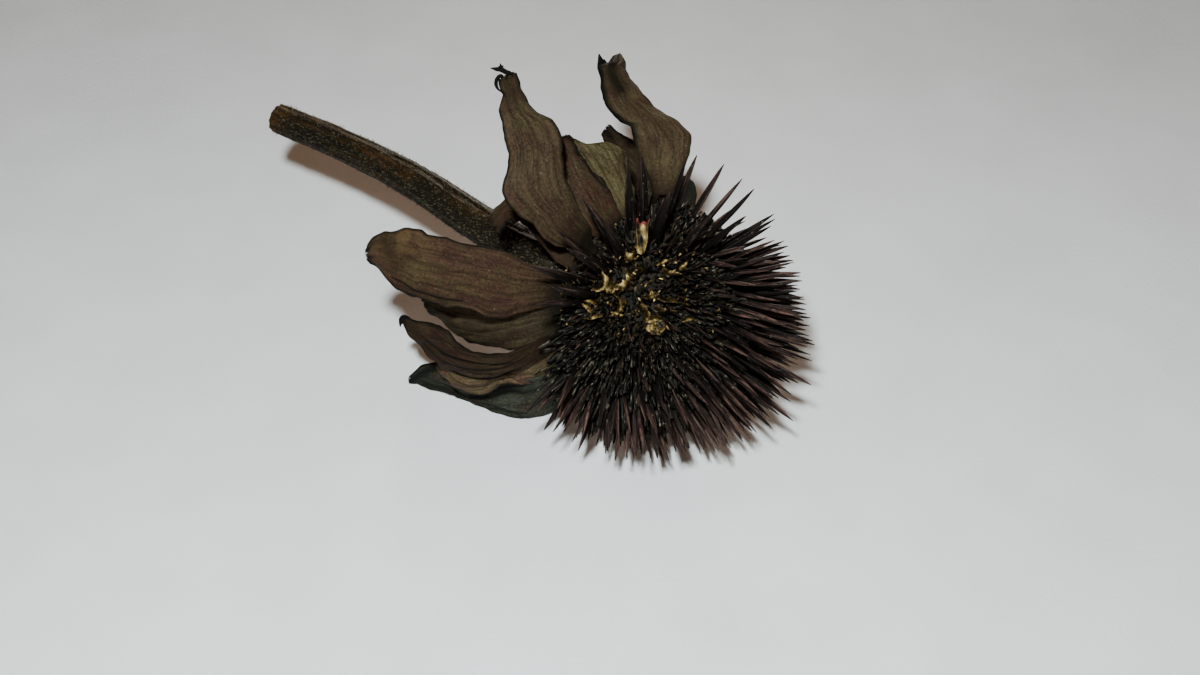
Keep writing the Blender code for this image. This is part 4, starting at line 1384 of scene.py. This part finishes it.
def add_stalk():
    """The stalk's ribbed skin, closed by a cut end with a sunken pith."""
    rows, columns = 320, 72
    place, ahead, first, second, half = stalk_frame(even_shares(STALK_ROUTE, rows))
    round_ = full_turn(columns)
    along = np.linspace(0.0, 1.0, rows)[:, None]
    size = half[:, None] * (1.0 + stalk_ribs(along, round_[None, :]))
    rays = ring_rays(round_, first, second)
    skin = place[:, None, :] + rays * size[..., None]
    ends = [
        place[-1] + ahead[-1] * depth + rays[-1] * (size[-1] * share)[:, None]
        for share, depth, _ in STALK_END
    ]
    points = np.concatenate([skin, np.array(ends)])
    tones = np.zeros((len(points), columns, 3))
    tones[:rows, :, 0] = along
    band = math.radians(BROWN_BAND) + 0.25 * np.sin(9 * along)
    free = climb(along, 0.16, 0.25)
    tones[:rows, :, 2] = np.exp(-((round_[None, :] - band) / 0.55) ** 2) * (0.55 + 0.45 * along) * free
    tones[:rows, :, 2] -= 0.6 * (1.0 - free)
    tones[:rows, :, 2] += 0.8 * climb(along, 0.93, 0.05)
    tones[rows:, :, 1] = np.array(STALK_END)[:, 2:]
    uvs = np.ones((len(points), columns, 2))
    uvs[..., 0] = np.linspace(0, 1, columns)
    uvs[:rows, :, 1] = along
    faces = grid_faces(len(points), columns, wrap=True)
    take_place(add_mesh("stalk_skin", points, faces, stalk_material(), uvs, tones), "stem")


def bristle_material():
    """Pale stiff hairs, darker on some."""
    skin = Skin("bristle", 0.6, 0.12)
    skin.color = (0.092, 0.076, 0.044)
    skin.lay((0.020, 0.014, 0.006), skin.tones()["Green"])
    return skin.finished()


def add_bristles():
    """Short stiff hairs all over the stalk, closer together near the head."""
    random = np.random.default_rng(BRISTLE_SEED)
    spread = np.sort(random.random(BRISTLE_COUNT) ** 1.25)
    shares = np.interp(spread, np.linspace(0, 1, 200), even_shares(STALK_ROUTE, 200))
    place, ahead, first, second, half = stalk_frame(shares)
    round_ = random.uniform(0, 2 * math.pi, BRISTLE_COUNT)
    size = half * (1.0 + stalk_ribs(spread, round_))
    rays = np.cos(round_)[:, None] * first + np.sin(round_)[:, None] * second
    roots = place + rays * (size - BRISTLE_ROOT)[:, None]
    length = random.uniform(*BRISTLE_LENGTH, BRISTLE_COUNT)
    lean = rays + ahead * random.uniform(-0.2, 1.1, BRISTLE_COUNT)[:, None]
    lean = lean + 0.25 * random.normal(size=rays.shape)
    tips = roots + unit(lean) * (length + BRISTLE_ROOT)[:, None]
    half_width = random.uniform(*BRISTLE_HALF, BRISTLE_COUNT)
    bend = np.zeros(BRISTLE_COUNT)
    points, share = lance_bodies(roots, tips, half_width, 1.0, bend, [1.3, 0.6, 0.08], 3, random)
    shape = points.shape[:3]
    darkness = random.random(BRISTLE_COUNT)
    tones = piece_tones(shape, share[:, None], darkness[:, None, None], spread[:, None, None])
    bristles = add_mesh("bristles", points, tube_faces(*shape), bristle_material(), tones=tones)
    take_place(bristles, "stem")


def bract_material():
    """Dull green-brown bract skin with paler veins and hairy specks."""
    skin = Skin("bract", 0.75, 0.08)
    veins = skin.streaks(16.0, 2.0, 4.0, 0.6, 0.2)
    patches = skin.noise(420.0, 3.0, 0.5)
    skin.color = skin.ramp(patches, [(0.35, (0.0035, 0.0035, 0.0018)), (0.65, (0.0160, 0.0125, 0.0060))])
    skin.lay((0.045, 0.036, 0.018), skin.span(veins, 0.5, 0.7), 0.4)
    specks = skin.span(skin.noise(2600.0, 2.0, 0.5), 0.60, 0.68)
    skin.lay((0.150, 0.130, 0.095), specks, 0.7)
    return skin.finished(skin.plus(veins, specks), 0.7, 0.00025)


def add_receptacle(material):
    """The flared cup behind the head, ribbed and wrinkled."""
    rows, columns = 60, 120
    down = np.linspace(0, 1, rows)
    back, out = (part[:, None] for part in smooth_points(RECEPTACLE_PROFILE, down).T)
    round_ = full_turn(columns)[None, :]
    ribs = np.cos(26 * round_ + 2 * np.sin(3 * round_))
    out = out * (1.0 + 0.018 * ribs * np.linspace(0.2, 1.0, rows)[:, None])
    bend = np.interp(back, [-13.5, -6.0], [-1.55, 0.0])
    places = np.broadcast_arrays(back, out * np.cos(round_) + bend, out * np.sin(round_))
    uvs = np.stack(np.broadcast_arrays(round_ * 1.5, down[:, None]), axis=-1)
    faces = grid_faces(rows, columns, wrap=True)
    cup = add_mesh("receptacle", HEAD + np.stack(places, axis=-1), faces, material, uvs)
    take_place(cup, "stem")


def add_bracts(material):
    """Two rows of narrow pointed bracts that lie back over the receptacle."""
    random = np.random.default_rng(BRACT_SEED)
    rows, columns = 16, 7
    share = np.linspace(0.0, 1.0, rows)[:, None]
    u = np.linspace(-1.0, 1.0, columns)[None, :]
    strips = []
    uvs = []
    for number in range(BRACT_COUNT):
        turn = 2 * math.pi * (number + 0.35 + random.uniform(-0.2, 0.2)) / BRACT_COUNT
        inner = number % 2
        length = random.uniform(6.2, 8.2) - 1.2 * inner
        half = random.uniform(0.85, 1.25) * (1.0 - share ** 1.6) + 0.05
        out = 7.3 - 0.8 * inner + random.uniform(0.8, 1.7) * np.sin(share * math.pi * 0.9) - 1.5 * share
        back = 5.2 + 0.5 * inner + length * share
        curl = random.uniform(-0.3, 1.0) * share ** 3
        side = u * half + 0.5 * random.uniform(-1, 1) * share ** 2
        lift = out + curl - 0.25 * u ** 2 * half
        radial = np.array([0.0, -math.cos(turn), math.sin(turn)])
        around = np.array([0.0, math.sin(turn), math.cos(turn)])
        spine = HEAD - back[..., None] * np.array([1.0, 0.0, 0.0])
        strips.append(spine + lift[..., None] * radial + side[..., None] * around)
        uvs.append(np.stack(np.broadcast_arrays(u / 2 + number * 1.3, share), axis=-1))
    points, faces = joined(strips)
    bracts = add_mesh("bracts", points, faces, material, np.array(uvs))
    add_skin(bracts, BRACT_SKIN)
    take_place(bracts, "stem")


# Studio

def floor_material():
    """Pale paper with a faint fibre grain."""
    skin = Skin("paper_floor", 0.9, 0.1)
    mottle = skin.noise(60.0, 3.0, 0.5)
    fibre = skin.noise(1500.0, 4.0, 0.65)
    skin.color = skin.ramp(mottle, [(0.3, (0.57, 0.58, 0.585)), (0.7, (0.62, 0.63, 0.64))])
    skin.lay((0.5, 0.5, 0.5), skin.span(fibre, 0.65, 0.35), 0.10)
    return skin.finished(fibre, 0.25, 0.0004)


def add_studio():
    """A pale floor and a dim warm surround."""
    side = FLOOR_SIDE
    corners = [(-side, -side, 0), (side, -side, 0), (side, side, 0), (-side, side, 0)]
    floor = add_mesh("floor", corners, [(0, 1, 2, 3)], floor_material(), smooth=False)
    world = bpy.data.worlds.new("studio")
    world.use_nodes = True
    backdrop = world.node_tree.nodes["Background"]
    backdrop.inputs["Color"].default_value = SURROUND
    backdrop.inputs["Strength"].default_value = SURROUND_STRENGTH
    bpy.context.scene.world = world


def camera_axes():
    """The camera's back, right and up directions."""
    flat = math.cos(CAMERA_ELEVATION)
    right = np.array([math.cos(CAMERA_AZIMUTH), math.sin(CAMERA_AZIMUTH), 0.0])
    back = np.array([right[1] * flat, -right[0] * flat, math.sin(CAMERA_ELEVATION)])
    return back, right, np.cross(back, right)


def camera_eye():
    """Where the camera stands, so that the head's centre falls on its pixel."""
    back, right, up = camera_axes()
    scale = CAMERA_DISTANCE * SENSOR_WIDTH / (CAMERA_LENS * FRAME_WIDTH)
    target = HEAD - right * (HEAD_PIXEL[0] - FRAME_WIDTH / 2) * scale
    target = target - up * (FRAME_HEIGHT / 2 - HEAD_PIXEL[1]) * scale
    return target + back * CAMERA_DISTANCE


def add_camera():
    back, right, up = camera_axes()
    data = bpy.data.cameras.new("camera")
    data.lens = CAMERA_LENS
    data.sensor_width = SENSOR_WIDTH
    data.clip_start = CLIP_START
    camera = bpy.data.objects.new("camera", data)
    matrix = np.eye(4)
    matrix[:3, :] = np.stack([right, up, back, camera_eye() * MM], axis=1)
    camera.matrix_world = Matrix(matrix.tolist())
    bpy.context.scene.collection.objects.link(camera)
    bpy.context.scene.camera = camera


def link_light(data, place):
    """A lamp of this data at a place, out of the camera's sight."""
    light = bpy.data.objects.new(data.name, data)
    light.location = Vector(place) * MM
    light.visible_camera = False
    bpy.context.scene.collection.objects.link(light)
    return light


def add_disk_light(name, place, way, size, power, color, spread):
    """A round area light that looks along a direction."""
    data = bpy.data.lights.new(name, "AREA")
    data.shape = "DISK"
    data.size = size * MM
    data.energy = power
    data.color = color
    data.spread = math.radians(spread)
    link_light(data, place).rotation_euler = Vector(way).to_track_quat("-Z", "Y").to_euler()


def add_lights():
    """The small round key above the lens, low soft fills round the flower, and a ring over the far floor."""
    back, right, up = camera_axes()
    data = bpy.data.lights.new("key", "POINT")
    data.shadow_soft_size = KEY_RADIUS * MM
    data.energy = KEY_POWER
    data.color = KEY_COLOR
    link_light(data, camera_eye() - right * KEY_LEFT + up * KEY_UP + back * KEY_BACK)
    for number, (azimuth, power) in enumerate(FILLS):
        turn = math.radians(azimuth)
        way = unit(np.array([math.sin(turn), -math.cos(turn), FILL_RISE]))
        place = HEAD + FILL_DISTANCE * way
        add_disk_light(f"fill_{number}", place, -way, FILL_SIZE, power, FILL_COLOR, FILL_SPREAD)
    for number in range(RING_COUNT):
        turn = 2 * math.pi * number / RING_COUNT
        place = np.array([RING_RADIUS * math.cos(turn), RING_RADIUS * math.sin(turn), RING_HEIGHT])
        add_disk_light(f"ring_{number}", place, DOWN, RING_SIZE, RING_POWER, RING_COLOR, RING_SPREAD)


add_petals()
add_core()
add_spines()
add_florets()
add_chaff()
add_stalk()
add_bristles()
bract_skin = bract_material()
add_receptacle(bract_skin)
add_bracts(bract_skin)
add_studio()
add_camera()
add_lights()
